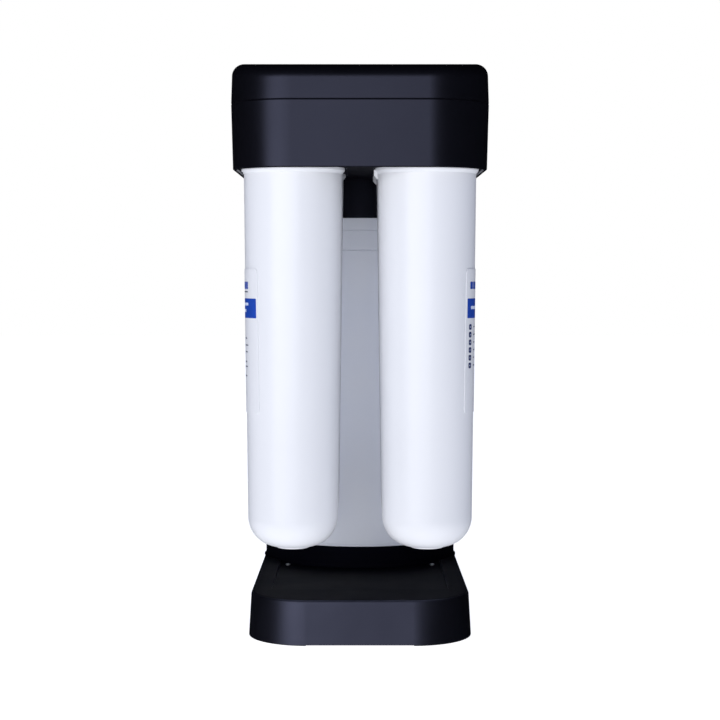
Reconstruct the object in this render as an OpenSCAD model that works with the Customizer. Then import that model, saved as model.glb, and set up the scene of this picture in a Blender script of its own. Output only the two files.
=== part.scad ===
// Compact under-sink reverse osmosis unit: four twist-in cartridges hang from a water head,
// a pressure tank stands behind them, and a base tray carries both. +Z is up, the front faces -Y.

/* [Overall] */
// Width of the head at its parting line
head_w = 190; // [189:1:240]
// Depth of the head from front to rear
head_d = 371; // [370:1:460]
// Height from the floor to the crown of the lid
unit_h = 426; // [416:1:520]

/* [Head shell] */
// Height of the lid's crown above the parting line
lid_h = 30; // [28:1:40]
// How far the lid's top falls from its crown to its front and rear edges
lid_crown = 6; // [1:0.5:8]
// Height of the casing below the parting line
casing_h = 48.5; // [48:0.5:60]
// Plan radius of the head's four corners
head_corner_r = 46; // [30:1:60]
// How far the casing's sides lean in towards its bottom edge
casing_draft = 1.4; // [0.4:0.1:2.5]
// How far the lid's sides lean in towards its top
lid_draft = 0.6; // [0.2:0.1:1.5]
// Wall of the lid and of the casing
head_wall = 2.8; // [2:0.1:3.2]
// Radius of the lid's rolled top edge
lid_edge_r = 8; // [4:0.5:12]
// Half of the groove along the parting line
seam = 0.6; // [0.3:0.1:1]
// Thickness of the casing's floor
floor_t = 3; // [2:0.2:3.6]
// Depth of the lid's locating skirt inside the casing
skirt_h = 4; // [2:0.5:8]

/* [Cartridges] */
// Distance between the left and right cartridge axes
pitch_x = 98.6; // [90:0.2:99]
// Distance between the front and rear cartridge axes
pitch_y = 84; // [82:0.5:90]
// Distance of the front axes behind the head's front face
row_inset = 45; // [45:0.5:50]
// Radius at the top of a cartridge
cart_r = 36.3; // [30:0.1:37]
// Radius where the rounded bottom begins
cart_low_r = 33; // [27:0.1:34]
// Length of the shell from its weld down to its rounded bottom
cart_len = 273.5; // [180:0.5:280]
// Radius of the rounded bottom edge
cart_fillet = 22; // [8:1:26]
// Wall of the shell
cart_wall = 2.4; // [1.8:0.1:3]
// Radius of the moulded disc under a cartridge
boss_r = 12; // [6:0.5:16]
// Height of that disc
boss_h = 1; // [0.5:0.1:2]
// How far the cap's flange stands proud of the shell
flange_lip = 1.8; // [1:0.1:2.4]
// Bottom of the label above the shell's lowest point
label_up = 99; // [60:1:120]
// Height of the label
label_h = 105; // [60:1:140]
// Thickness of the label
label_t = 0.45; // [0.2:0.05:0.8]
// Angle that the label wraps round the shell
label_wrap = 92; // [60:2:300]

/* [Bayonet] */
// Radius of a cartridge's neck
neck_r = 27.3; // [22:0.1:27.5]
// How far a lug stands out of the neck
lug_out = 4.1; // [3:0.1:4.4]
// Height of a lug
lug_h = 6.5; // [5:0.1:7]
// Angle that a lug covers
lug_arc = 34; // [24:1:36]
// Turn from locked to free
unlock_turn = 45; // [42:1:60]
// Clearance of the neck and the lugs in the socket
socket_clear = 0.3; // [0.2:0.05:0.5]
// Radius of a cartridge's centre spigot
spigot_r = 8; // [6:0.1:9]
// Running clearance of spigots, poppets and plungers
run_clear = 0.06; // [0.03:0.01:0.1]

/* [Tank] */
// Outer radius of the tank
tank_r = 84; // [70:0.5:86]
// Wall of the tank
tank_wall = 2.5; // [2:0.1:4]
// Distance of the tank's axis from the head's rear face
tank_inset = 91; // [91:0.5:100]
// Height of the welded band round the tank
band_h = 16.6; // [10:0.2:24]
// Distance from the band's top to the head's floor
band_drop = 40.1; // [36:0.5:60]
// How far the shroud reaches down over the tank
shroud_h = 30.5; // [16:0.5:34]
// Gap between the tank and the shroud
shroud_gap = 0.5; // [0.3:0.1:1.5]
// Radius of the tank's threaded neck
neck_pipe_r = 10; // [8:0.5:12]

/* [Base] */
// Half width of the tray at its bottom
tray_half_w = 83.5; // [83.2:0.1:90]
// Height of the tray at its front
tray_h = 33.2; // [30:0.1:44]
// How far the tray's rim falls from the front to the rear
rim_fall = 3.7; // [2:0.1:4.4]
// How far the tray stands in front of the front cartridge axes
tray_front = 16; // [8:0.5:30]
// Plan radius of the tray's front corners
tray_corner_r = 45; // [20:1:60]
// How far the tray's sides lean in towards the rim
tray_draft = 1.7; // [0.5:0.1:3]
// Height of the tray's sunk floor under the tank
sunk_floor = 28.5; // [26:0.1:32]
// Half width of the sunk floor
sunk_half_w = 66.8; // [50:0.5:72]
// Wall of the tray
tray_wall = 3; // [2:0.1:4]
// How far the rubber feet stand out of the tray
foot_out = 1; // [0.5:0.1:3]
// Height of the ring that carries the tank
collar_h = 17.8; // [12:0.2:30]
// How far the tank overhangs that ring
collar_inset = 2.6; // [1:0.1:6]

/* [Connections] */
// Radius of the tube that the ports take, plus its seating clearance
tube_seat_r = 3.2; // [3:0.05:5]
// Length of the tube's seat in a port
tube_seat_len = 8; // [5:0.5:12]
// Distance between neighbouring ports
port_pitch = 40; // [26:1:42]
// Depth of the connection bay in the rear of the casing
bay_deep = 25; // [22:0.5:30]
// Width of the connection bay
bay_w = 124; // [110:1:130]
// Push travel of a port's release collar
collet_travel = 1.5; // [1:0.1:2]
// Outer radius of the tubes inside the head
tube_r = 3.175; // [2.5:0.05:3.3]
// Bore radius of those tubes
tube_bore = 2.1; // [1.5:0.1:2.4]

/* [Valves] */
// Radius of the shut-off valve
aso_r = 18; // [16:0.5:19]
// Travel of the shut-off plunger
aso_travel = 1.5; // [1:0.1:2]
// Radius of the check valve
check_r = 7; // [6:0.5:7.5]

/* [Hidden] */
$fn = 48;
hull_fn = 36;
touch = 0.02;
eps = 0.01;

head_z = unit_h - lid_h - casing_h;
seam_z = head_z + casing_h;
front_y = -head_d / 2;
rear_y = head_d / 2;
row_y = [front_y + row_inset, front_y + row_inset + pitch_y];
mid_row_y = (row_y[0] + row_y[1]) / 2;
cart_at = [[-pitch_x / 2, row_y[0]], [pitch_x / 2, row_y[0]],
           [-pitch_x / 2, row_y[1]], [pitch_x / 2, row_y[1]]];
tank_y = rear_y - tank_inset;

// Cartridge heights
weld_z = head_z - 3;
lip_z = head_z - 0.5;
cap_top_z = head_z + 4.8;
shell_z = weld_z - cart_len;
plug_h = 8.5;
opening_r = cart_r + flange_lip + 1.4;
tab_out = 2.8;
tab_w = 8;
tab_h = 5.8;
tab_root = 4;
tab_slant = 40;
cap_bore_r = 3;
cap_hole_r = 2.2;
cap_holes_at = 16;
element_room_r = min(cart_r, cart_low_r) - cart_wall;
element_foot_r = 8;
element_end_t = 4;
element_end_lip = 1.5;
tab_angle = [100, 180, 100, 180];
label_face = [180, 0, 180, 0];

// Bayonet heights
cup_z = head_z + 6;
ledge_t = 4;
channel_z = cup_z + ledge_t;
lug_z = channel_z + 0.5;
channel_h = lug_h + 1.5;
neck_top_z = head_z + 25;
deck_z = neck_top_z + 1.5;
deck_t = 12;
channel_deep = 6;
cover_t = 4;
socket_r = neck_r + socket_clear;
lug_r = neck_r + lug_out;
cup_r = lug_r + socket_clear + 3.2;
spigot_top_z = deck_z + 5.2;
channel_w = 8;
gallery_z = deck_z + 3.4;
gallery_r = 2;
stop_arc = 2.5;
stop_gap = 1.5;
stop_root = 0.8;

// Seals
neck_ring = 1.6;
neck_ring_drop = 2.6;
spigot_ring_up = 3;
ring_slack = 0.1;
neck_groove_r = socket_r - 0.1 - 2 * neck_ring;
spigot_ring = 0.85;
spigot_groove_r = spigot_r - 2 * spigot_ring;

// Socket poppets
poppet_from_axis = 18;
poppet_side = [[-1, 1], [1, 1], [-1, 1], [-1, 1]];
poppet_stem_r = 2.4;
poppet_hole_r = 3.2;
poppet_disc_r = 5.2;
poppet_room_r = 6.2;
poppet_disc_t = 2.4;
poppet_open = 0.8;

// Manifold outline and its rear nipples: feed, concentrate, permeate, polish in, clean out
deck_w = pitch_x + 2 * cup_r;
deck_front_y = row_y[0] - cup_r - 1;
deck_rear_y = row_y[1] + cup_r + 2.5;
deck_r = 36;
nipple_x = [pitch_x / 2 + 11.7, pitch_x / 2 + 21.7, pitch_x / 2, -pitch_x / 2, -pitch_x / 2 - 12.7];
nipple_r = tube_r;
nipple_l = 10;
nipple_root = 10;
screw_at = [[0, row_y[0] - 31], [0, row_y[1] + 31],
            [pitch_x / 2 + 30.7, mid_row_y], [-pitch_x / 2 - 30.7, mid_row_y], [0, mid_row_y]];
screw_r = 1.9;
screw_root = 10;
screw_head_r = 3.8;
screw_head_t = 2.2;
post_r = 5;

// Tank heights
band_top_z = head_z - band_drop;
band_z = band_top_z - band_h;
tank_z = sunk_floor + collar_h;
tank_top_z = head_z - 2.5;
tank_step = 0.35;
neck_flange_r = 15;
neck_hole_r = neck_flange_r + 2;
tank_neck_z = head_z + floor_t + 7.5;
tee_z = tank_neck_z + 8;
tee_r = 6.5;
tee_h = 13;
tee_arm = 20;
tee_arm_r = 4.6;
neck_flange_t = 3;
neck_root = 6;
neck_bore_r = 3;
valve_hole_r = 4;
air_valve_up = 5;
air_valve_bore_r = 1.6;
air_flange_r = 7;
air_flange_t = 2;

// Base
tray_front_y = row_y[0] - tray_front;
rear_half_w = 79;
rear_r = 75;
tray_rear_cy = tank_y + rear_half_w - rear_r;
foot_r = 9;
foot_t = 3;
foot_at = [[-tray_half_w + 22, tray_front_y + 24], [tray_half_w - 22, tray_front_y + 24],
           [-tray_half_w + 32, tank_y + 34], [tray_half_w - 32, tank_y + 34]];
collar_r = tank_r - collar_inset;
collar_wall = 4;
seat_gap = 2.4;
foot_arc = 1.5;
rib_gap = 30;
rib_t = 2;
foot_boss = 2;
screw_ear_at = [[-60, -66.5], [60, -66.5]];
ear_root = 2;
ear_head_r = 2.2;
ear_head_t = 0.9;

// Connection bay and ports
bay_z = head_z + 8.5;
bay_h = 32;
bay_y = rear_y - bay_deep;
port_z = bay_z + bay_h / 2;
port_at = [-port_pitch, 0, port_pitch];
barrel_r = 8.5;
barrel_out = 20;
port_flange_r = 11;
port_flange_t = 2;
collet_r = 5.72;
collet_room_r = 5.8;
collet_bore_r = tube_seat_r + 0.1;
collet_lip_r = 7.6;
collet_lip_t = 2;
ring_r = 1.05;
ring_room = 2 * ring_r + 0.3;
port_inner = 8;
port_end_y = bay_y + barrel_out;
seat_y = bay_y - 4;
ring_y = seat_y + tube_seat_len;
port_in_y = seat_y - 2.2 - port_inner;

// Shut-off and check valves
aso_at = [pitch_x / 2 + 0.7, tank_y - 24];
aso_body_h = 14;
aso_cover_h = 10.3;
membrane_t = 1.2;
aso_nipple = 8;
aso_side = 8;
aso_room_r = 11;
aso_room_up = 6;
aso_guide_up = 1.3;
plunger_r = 3;
plunger_disc_r = 9;
plunger_disc_t = 2.2;
plunger_gap = 0.4;
aso_spring_r = 5;
aso_wire_r = 0.45;
check_y = deck_rear_y + nipple_l + 12.5;
check_len = 26;
check_bore_r = 5;
check_room_at = 6;
check_room_len = 16;
check_seat_gap = 0.3;
check_disc_t = 2;
check_stem_r = 1.5;
check_stem_l = 5;
check_spring_r = 3.4;
check_wire_r = 0.35;
restrictor_r = 5;
restrictor_len = 60;
restrictor_bore_r = 0.8;
restrictor_x = nipple_x[1] + 2.5;

// ---------- shared shapes ----------

function unit(v) = v / norm(v);
function bezier(p, a, b, q, t) =
    pow(1 - t, 3) * p + 3 * pow(1 - t, 2) * t * a + 3 * (1 - t) * t * t * b + pow(t, 3) * q;
function bezier_way(p, a, b, q, t) =
    3 * pow(1 - t, 2) * (a - p) + 6 * (1 - t) * t * (b - a) + 3 * t * t * (q - b);
function ring_round(c, way, r, n) =
    let (side = unit(cross(way, [0, 0, 1])), up = cross(side, unit(way)))
    [for (k = [0:n - 1]) c + r * cos(360 * k / n) * side + r * sin(360 * k / n) * up];

// A tube or a solid wire along stations of [point, direction]
module swept(stations, r, bore = 0, sides = 8) {
    n = sides;
    m = len(stations);
    outer = [for (s = stations) each ring_round(s[0], s[1], r, n)];
    inner = bore > 0 ? [for (s = stations) each ring_round(s[0], s[1], bore, n)] : [];
    shift = m * n;
    walls = [for (i = [0:m - 2], k = [0:n - 1])
        [i * n + k, i * n + (k + 1) % n, (i + 1) * n + (k + 1) % n, (i + 1) * n + k]];
    bores = bore == 0 ? [] : [for (i = [0:m - 2], k = [0:n - 1])
        [shift + (i + 1) * n + k, shift + (i + 1) * n + (k + 1) % n,
         shift + i * n + (k + 1) % n, shift + i * n + k]];
    last = (m - 1) * n;
    ends = bore == 0
        ? [[for (k = [0:n - 1]) n - 1 - k], [for (k = [0:n - 1]) last + k]]
        : [for (k = [0:n - 1]) each [
            [k, shift + k, shift + (k + 1) % n, (k + 1) % n],
            [last + k, last + (k + 1) % n, shift + last + (k + 1) % n, shift + last + k]]];
    polyhedron(points = concat(outer, inner), faces = concat(walls, bores, ends), convexity = 6);
}

module coil(r, wire_r, turns, height) {
    steps = turns * 16;
    pitch = (height - 2 * wire_r) / turns;
    swept([for (i = [0:steps]) let (a = 360 * i / 16)
        [[r * cos(a), r * sin(a), wire_r + pitch * i / 16],
         [-r * sin(a), r * cos(a), pitch / (2 * PI)]]], wire_r);
}

// A bent tube between two fittings, leaving each along its own direction
module bent_tube(p, p_way, q, q_way, reach) {
    stations = 12;
    a = p + p_way * reach;
    b = q + q_way * reach;
    swept([for (i = [0:stations]) let (t = i / stations)
        [bezier(p, a, b, q, t), bezier_way(p, a, b, q, t)]], tube_r, tube_bore);
}

// A drafted box with round corners, from one corner's profile of [radius, height] points
module soft_box(w, d, r, profile) {
    hull()
        for (sx = [-1, 1], sy = [-1, 1])
            translate([sx * (w / 2 - r), sy * (d / 2 - r), 0])
                rotate_extrude($fn = hull_fn)
                    polygon(profile);
}

// A plate with square sides and round corners, between two y values
module deck_plate(z, h) {
    w = deck_w;
    d = deck_rear_y - deck_front_y;
    cy = (deck_rear_y + deck_front_y) / 2;
    translate([0, cy, z]) {
        translate([-w / 2, -d / 2 + deck_r, 0])
            cube([w, d - 2 * deck_r, h]);
        translate([-w / 2 + deck_r, -d / 2, 0])
            cube([w - 2 * deck_r, d, h]);
        for (sx = [-1, 1], sy = [-1, 1])
            translate([sx * (w / 2 - deck_r), sy * (d / 2 - deck_r), 0])
                cylinder(r = deck_r, h = h);
    }
}

// A round-ended slot from one point to another
module slot_between(a, b, z, w, h) {
    way = b - a;
    translate([a[0], a[1], z]) {
        cylinder(d = w, h = h);
        rotate([0, 0, atan2(way[1], way[0])])
            translate([0, -w / 2, 0])
                cube([norm(way), w, h]);
    }
    translate([b[0], b[1], z])
        cylinder(d = w, h = h);
}

module along_y(y, l, r) {
    translate([0, y, 0])
        rotate([-90, 0, 0])
            cylinder(r = r, h = l);
}

module sector(r_in, r_out, from, arc, z, h) {
    rotate([0, 0, from])
        rotate_extrude(angle = arc)
            translate([r_in, z])
                square([r_out - r_in, h]);
}

module torus(r, wire_r, z) {
    translate([0, 0, z])
        rotate_extrude()
            translate([r, 0])
                circle(r = wire_r, $fn = 24);
}

module at_cartridge(n) {
    translate([cart_at[n][0], cart_at[n][1], 0])
        children();
}

module at_tank() {
    translate([0, tank_y, 0])
        children();
}

module screw(head_r, head_t, shank_l) {
    cylinder(r = screw_r, h = shank_l);
    translate([0, 0, shank_l])
        cylinder(r1 = head_r, r2 = head_r * 0.7, h = head_t);
}

// ---------- base ----------

function tray_profile(r, top) = [[0, 0], [r, 0], [r - tray_draft, top], [0, top]];

module tray_form(inset, low, top) {
    r_front = tray_corner_r - inset;
    r_rear = rear_r - inset;
    translate([0, 0, low])
        hull() {
            for (sx = [-1, 1])
                translate([sx * (tray_half_w - tray_corner_r), tray_front_y + tray_corner_r, 0])
                    rotate_extrude($fn = hull_fn)
                        polygon(tray_profile(r_front, top - low));
            for (sx = [-1, 1])
                translate([sx * (tray_half_w - rear_r), tray_rear_cy, 0])
                    rotate_extrude($fn = 2 * hull_fn)
                        polygon(tray_profile(r_rear, top - rim_fall - low));
        }
}

module base_tray() {
    flush_y = tray_front_y + 47;
    deep_y = tank_y - collar_r;
    color("#1b1b1d")
        difference() {
            tray_form(0, foot_out, tray_h);
            difference() {
                tray_form(tray_wall, foot_out - eps, sunk_floor - tray_wall);
                for (p = foot_at)
                    translate([p[0], p[1], 0])
                        cylinder(r = foot_r + foot_boss, h = tray_h);
                for (sx = [-1, 0, 1])
                    translate([sx * rib_gap - rib_t / 2, tray_front_y, 0])
                        cube([rib_t, head_d, tray_h]);
            }
            // The floor sinks from flush near the front to its depth at the tank's ring
            translate([-sunk_half_w, 0, 0])
                rotate([90, 0, 90])
                    linear_extrude(height = 2 * sunk_half_w)
                        polygon([[flush_y, tray_h - 0.2], [deep_y, sunk_floor],
                                 [tank_y, sunk_floor], [tank_y, tray_h + 1], [flush_y, tray_h + 1]]);
            at_tank()
                translate([0, 0, sunk_floor])
                    cylinder(r = collar_r + seat_gap, h = tray_h);
            for (p = foot_at)
                translate([p[0], p[1], foot_out - eps])
                    cylinder(r = foot_r + touch, h = foot_t - foot_out + eps);
            at_tank()
                for (p = screw_ear_at)
                    translate([p[0], p[1], sunk_floor - ear_root])
                        cylinder(r = screw_r + touch, h = tray_h);
        }
}

module base_feet() {
    color("#2a2a2a")
        for (p = foot_at)
            translate([p[0], p[1], 0])
                cylinder(r1 = foot_r - 0.6, r2 = foot_r, h = foot_t);
}

module tank_collar() {
    color("#1b1b1d")
        at_tank()
            rotate_extrude()
                polygon([[collar_r - collar_wall, sunk_floor], [collar_r + foot_arc, sunk_floor],
                         [collar_r + 0.45 * foot_arc, sunk_floor + 0.2 * foot_arc],
                         [collar_r + 0.12 * foot_arc, sunk_floor + 0.6 * foot_arc],
                         [collar_r, sunk_floor + 1.2 * foot_arc],
                         [collar_r, tank_z], [collar_r - collar_wall, tank_z]]);
}

module collar_screws() {
    color("silver")
        at_tank()
            for (p = screw_ear_at)
                translate([p[0], p[1], sunk_floor - ear_root]) {
                    cylinder(r = screw_r, h = ear_root + 0.6);
                    translate([0, 0, ear_root + 0.6])
                        cylinder(r1 = ear_head_r, r2 = ear_head_r - 1, h = ear_head_t);
                }
}

// ---------- tank ----------

module tank_lower_shell() {
    color("#dfe2e6")
        at_tank()
            difference() {
                rotate_extrude()
                    polygon([[0, tank_z], [tank_r - 1, tank_z], [tank_r - 0.3, tank_z + 0.5],
                             [tank_r, tank_z + 1.4], [tank_r, band_z - tank_step],
                             [tank_r - tank_step, band_z],
                             [tank_r - tank_wall, band_z], [tank_r - tank_wall, tank_z + 12],
                             [tank_r - tank_wall - 8, tank_z + tank_wall + 1.2], [0, tank_z + tank_wall + 1.2]]);
                translate([0, 0, tank_z - 1])
                    cylinder(r = valve_hole_r, h = 10);
            }
}

module tank_band() {
    color("#dfe2e6")
        at_tank()
            rotate_extrude()
                polygon([[tank_r - 2 * tank_wall, band_z], [tank_r - tank_step, band_z],
                         [tank_r, band_z + tank_step], [tank_r, band_top_z - tank_step],
                         [tank_r - tank_step, band_top_z], [tank_r - 2 * tank_wall, band_top_z]]);
}

// Points of the dome's quarter ellipse, from its cylinder up to the neck
function dome_line(r, low, top, in_r) =
    [for (i = [0:10]) let (a = 90 * i / 10)
        [in_r + (r - in_r) * cos(a), low + (top - low) * sin(a)]];

module tank_dome() {
    dome_z = head_z - 28;
    color("#dfe2e6")
        at_tank()
            rotate_extrude()
                polygon(concat(
                    [[tank_r - tank_step, band_top_z], [tank_r, band_top_z + tank_step]],
                    dome_line(tank_r, dome_z, tank_top_z, neck_flange_r),
                    [[neck_pipe_r - 1, tank_top_z], [neck_pipe_r - 1, tank_top_z - tank_wall]],
                    [for (i = [10:-1:0]) let (a = 90 * i / 10)
                        [neck_flange_r + (tank_r - tank_wall - neck_flange_r) * cos(a),
                         dome_z + (tank_top_z - tank_wall - dome_z) * sin(a)]],
                    [[tank_r - tank_wall, band_top_z]]));
}

module tank_bladder() {
    bag_r = tank_r - tank_wall - 1.5;
    rim_r = tank_r - tank_wall - 0.1;
    low = tank_z + 0.35 * (band_z - tank_z);
    color("#3a3f45")
        at_tank()
            rotate_extrude()
                polygon([[0, low], [bag_r - 30, low], [bag_r - 9, low + 9], [bag_r, low + 30],
                         [bag_r, band_z - 4], [rim_r, band_z - 3.4], [rim_r, band_z - touch],
                         [bag_r - 5, band_z - touch], [bag_r - 5, band_z - 4],
                         [bag_r - 2, band_z - 7], [bag_r - 2, low + 31],
                         [bag_r - 10.5, low + 11], [bag_r - 31, low + 2], [0, low + 2]]);
}

module tank_air_valve() {
    color("#b9a25a")
        at_tank() {
            translate([0, 0, sunk_floor + air_valve_up])
                difference() {
                    cylinder(r = valve_hole_r - 2 * touch, h = collar_h + 3);
                    translate([0, 0, -1])
                        cylinder(r = air_valve_bore_r, h = 12);
                }
            translate([0, 0, tank_z - air_flange_t - touch])
                cylinder(r = air_flange_r, h = air_flange_t);
        }
}

module tank_neck() {
    color("#e8e8e4")
        at_tank()
            difference() {
                union() {
                    translate([0, 0, tank_top_z + touch])
                        cylinder(r = neck_flange_r, h = neck_flange_t);
                    translate([0, 0, tank_top_z - neck_root])
                        cylinder(r = neck_pipe_r - 1 - touch, h = neck_root + 2);
                    translate([0, 0, tank_top_z])
                        cylinder(r = neck_pipe_r, h = tank_neck_z - tank_top_z);
                }
                translate([0, 0, tank_top_z - neck_root - 2])
                    cylinder(r = neck_bore_r, h = 40);
            }
}

module tank_tee() {
    color("#f0f0ee")
        at_tank()
            difference() {
                union() {
                    translate([0, 0, tank_neck_z + touch])
                        cylinder(r = tee_r, h = tee_h);
                    for (sx = [-1, 1])
                        translate([0, 0, tee_z])
                            rotate([0, sx * 90, 0])
                                cylinder(r = tee_arm_r, h = tee_arm);
                }
                translate([0, 0, tank_neck_z - 1])
                    cylinder(r = gallery_r, h = tee_z - tank_neck_z + 1);
                translate([-tee_arm - 1, 0, tee_z])
                    rotate([0, 90, 0])
                        cylinder(r = gallery_r, h = 2 * tee_arm + 2);
            }
}

// ---------- head shells ----------

module casing_form(inset, low, top) {
    r = head_corner_r - inset;
    lean = casing_draft * (seam_z - low) / casing_h;
    soft_box(head_w - 2 * inset, head_d - 2 * inset, r,
        [[0, low], [r - lean, low], [r, seam_z - seam], [r - (inset > 0 ? 0 : seam), top], [0, top]]);
}

module bay_block(grow) {
    translate([-bay_w / 2 - grow, bay_y - grow, bay_z - grow])
        cube([bay_w + 2 * grow, bay_deep + 20, bay_h + 2 * grow]);
}

module head_casing() {
    color("#34353c")
        difference() {
            union() {
                difference() {
                    casing_form(0, head_z, seam_z);
                    casing_form(head_wall, head_z + floor_t, seam_z + 1);
                }
                intersection() {
                    casing_form(0.5, head_z, seam_z - 1);
                    bay_block(head_wall);
                }
                for (p = screw_at)
                    translate([p[0], p[1], head_z + floor_t - eps])
                        cylinder(r = post_r, h = deck_z - head_z - floor_t + eps);
            }
            bay_block(0);
            for (p = cart_at)
                translate([p[0], p[1], head_z - 1])
                    cylinder(r = opening_r, h = floor_t + 2);
            at_tank()
                translate([0, 0, head_z - 1])
                    cylinder(r = neck_hole_r, h = floor_t + 2);
            for (p = screw_at)
                translate([p[0], p[1], deck_z - screw_root - 2])
                    cylinder(r = screw_r + touch, h = screw_root + 3);
            for (x = port_at)
                translate([x, 0, port_z])
                    along_y(bay_y - head_wall - 1, head_wall + 2, barrel_r + touch);
        }
}

// A black ring that hangs from the casing's floor over the tank's top
module tank_shroud() {
    color("#1b1b1d")
        at_tank()
            rotate_extrude()
                translate([tank_r + shroud_gap, head_z - shroud_h])
                    square([tank_wall, shroud_h]);
}

function rolled_edge(r, top, edge) =
    [for (a = [0:15:90]) [r - lid_draft - edge + edge * cos(a), top - edge + edge * sin(a)]];

// The top is level from side to side, and falls from its crown to the front and rear edges
module lid_form(inset, low, top, edge) {
    w = head_w - 2 * inset;
    d = head_d - 2 * inset;
    r = head_corner_r - inset;
    crown_r = edge + lid_draft + 2;
    edge_top = top - lid_crown;
    hull() {
        soft_box(w, d, r, concat(
            [[0, low], [r - (inset > 0 ? 0 : seam), low], [r, low + seam]],
            rolled_edge(r, edge_top, edge), [[0, edge_top]]));
        soft_box(w, d - 2 * (r - crown_r), crown_r, concat(
            [[0, low + seam], [crown_r, low + seam]], rolled_edge(crown_r, top, edge), [[0, top]]));
    }
}

module top_lid() {
    skirt_gap = 0.35;
    skirt_inset = head_wall + skirt_gap;
    skirt_t = 2;
    skirt_edge = 0.4;
    roof_t = 2.5;
    color("#34353c")
        difference() {
            union() {
                lid_form(0, seam_z, unit_h, lid_edge_r);
                translate([0, 0, -skirt_h])
                    soft_box(head_w - 2 * skirt_inset, head_d - 2 * skirt_inset, head_corner_r - skirt_inset,
                        [[0, seam_z], [head_corner_r - skirt_inset - skirt_edge, seam_z],
                         [head_corner_r - skirt_inset, seam_z + skirt_h + 1], [0, seam_z + skirt_h + 1]]);
            }
            lid_form(skirt_inset + skirt_t, seam_z - skirt_h - 1, unit_h - roof_t, lid_edge_r - head_wall);
        }
}

// ---------- manifold ----------

module gallery(x, y) {
    translate([x, 0, gallery_z])
        along_y(y, deck_rear_y + nipple_l + 1 - y, gallery_r);
}

function poppet_pos(n) =
    cart_at[n] + poppet_side[n] * poppet_from_axis / sqrt(2);

module manifold_cup(n) {
    entry = -unlock_turn;
    translate([0, 0, cup_z - 1])
        cylinder(r = socket_r, h = deck_z - cup_z + 1);
    translate([0, 0, channel_z])
        cylinder(r = lug_r + socket_clear, h = channel_h);
    for (side = [0, 180])
        sector(socket_r - 1, lug_r + socket_clear, side + entry - lug_arc / 2 - 3, lug_arc + 6,
            cup_z - 1, ledge_t + 1.5);
}

// Walls across the lug channel, one just past each end of a lug's travel
module manifold_stops() {
    stop_low = channel_z - stop_root;
    stop_tall = channel_h + 2 * stop_root;
    for (side = [0, 180]) {
        sector(socket_r + 0.4, cup_r - 1, side + lug_arc / 2 + stop_gap, stop_arc, stop_low, stop_tall);
        sector(socket_r + 0.4, cup_r - 1, side - unlock_turn - lug_arc / 2 - stop_gap - stop_arc, stop_arc,
            stop_low, stop_tall);
    }
}

module manifold() {
    color("#e9eaec") {
        difference() {
            union() {
                deck_plate(deck_z, deck_t);
                for (n = [0:3])
                    at_cartridge(n)
                        translate([0, 0, cup_z])
                            cylinder(r = cup_r, h = deck_z - cup_z + eps);
                for (x = nipple_x)
                    translate([x, 0, gallery_z])
                        along_y(deck_rear_y - nipple_root, nipple_l + nipple_root, nipple_r);
            }
            for (n = [0:3]) {
                at_cartridge(n) {
                    difference() {
                        manifold_cup(n);
                        manifold_stops();
                    }
                    translate([0, 0, deck_z - 1])
                        cylinder(r = spigot_r + run_clear, h = spigot_top_z - deck_z + 1.4);
                    translate([0, 0, deck_z])
                        cylinder(r = channel_w / 2, h = deck_t + 1);
                }
                translate([poppet_pos(n)[0], poppet_pos(n)[1], deck_z]) {
                    translate([0, 0, -1])
                        cylinder(r = poppet_hole_r, h = deck_t);
                    translate([0, 0, deck_t - channel_deep])
                        cylinder(r = poppet_room_r, h = deck_t);
                }
            }
            slot_between(cart_at[1], poppet_pos(0), deck_z + deck_t - channel_deep, channel_w, channel_deep + 1);
            slot_between(cart_at[0], poppet_pos(3), deck_z + deck_t - channel_deep, channel_w, channel_deep + 1);
            gallery(nipple_x[0], poppet_pos(1)[1]);
            gallery(nipple_x[1], row_y[1] + 6.5);
            translate([nipple_x[1] - 1, row_y[1] + 6.5, deck_z - 1])
                cylinder(r = gallery_r, h = 4);
            gallery(nipple_x[2], row_y[1]);
            gallery(nipple_x[3], row_y[1]);
            gallery(nipple_x[4], poppet_pos(2)[1]);
            for (p = screw_at)
                translate([p[0], p[1], deck_z - 1])
                    cylinder(r = screw_r + 0.3, h = deck_t + 2);
        }
    }
}

module manifold_cover() {
    color("#cfd1d4")
        difference() {
            deck_plate(deck_z + deck_t, cover_t);
            for (p = screw_at)
                translate([p[0], p[1], deck_z])
                    cylinder(r = screw_r + 0.3, h = deck_t + cover_t + 1);
        }
}

module head_screws() {
    color("silver")
        for (p = screw_at)
            translate([p[0], p[1], deck_z - screw_root])
                screw(screw_head_r, screw_head_t, deck_t + cover_t + screw_root);
}

module socket_poppet(n) {
    seat_z = deck_z + deck_t - channel_deep;
    color("#3c6fb4")
        translate([poppet_pos(n)[0], poppet_pos(n)[1], 0]) {
            translate([0, 0, neck_top_z + 0.3])
                cylinder(r = poppet_stem_r, h = seat_z + 1 - neck_top_z - 0.3);
            translate([0, 0, seat_z + poppet_open])
                cylinder(r = poppet_disc_r, h = poppet_disc_t);
        }
}

// ---------- ports ----------

module port(x) {
    root_y = seat_y - 2.2;
    color("#e4e5e7")
        translate([x, 0, port_z])
            difference() {
                union() {
                    along_y(root_y, port_end_y - root_y, barrel_r);
                    along_y(bay_y, port_flange_t, port_flange_r);
                    along_y(root_y - port_inner, port_inner + eps, nipple_r);
                }
                along_y(root_y - port_inner - 1, port_inner + 4, tube_bore);
                along_y(seat_y, tube_seat_len + eps, tube_seat_r);
                along_y(ring_y, ring_room, tube_seat_r + 2 * ring_r + 0.1);
                along_y(ring_y + ring_room - eps, barrel_out, collet_room_r);
            }
}

module port_seals() {
    color("#303030")
        for (x = port_at)
            translate([x, ring_y + ring_room / 2, port_z])
                rotate([-90, 0, 0])
                    torus(tube_seat_r + 0.05 + ring_r, ring_r, 0);
}

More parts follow.
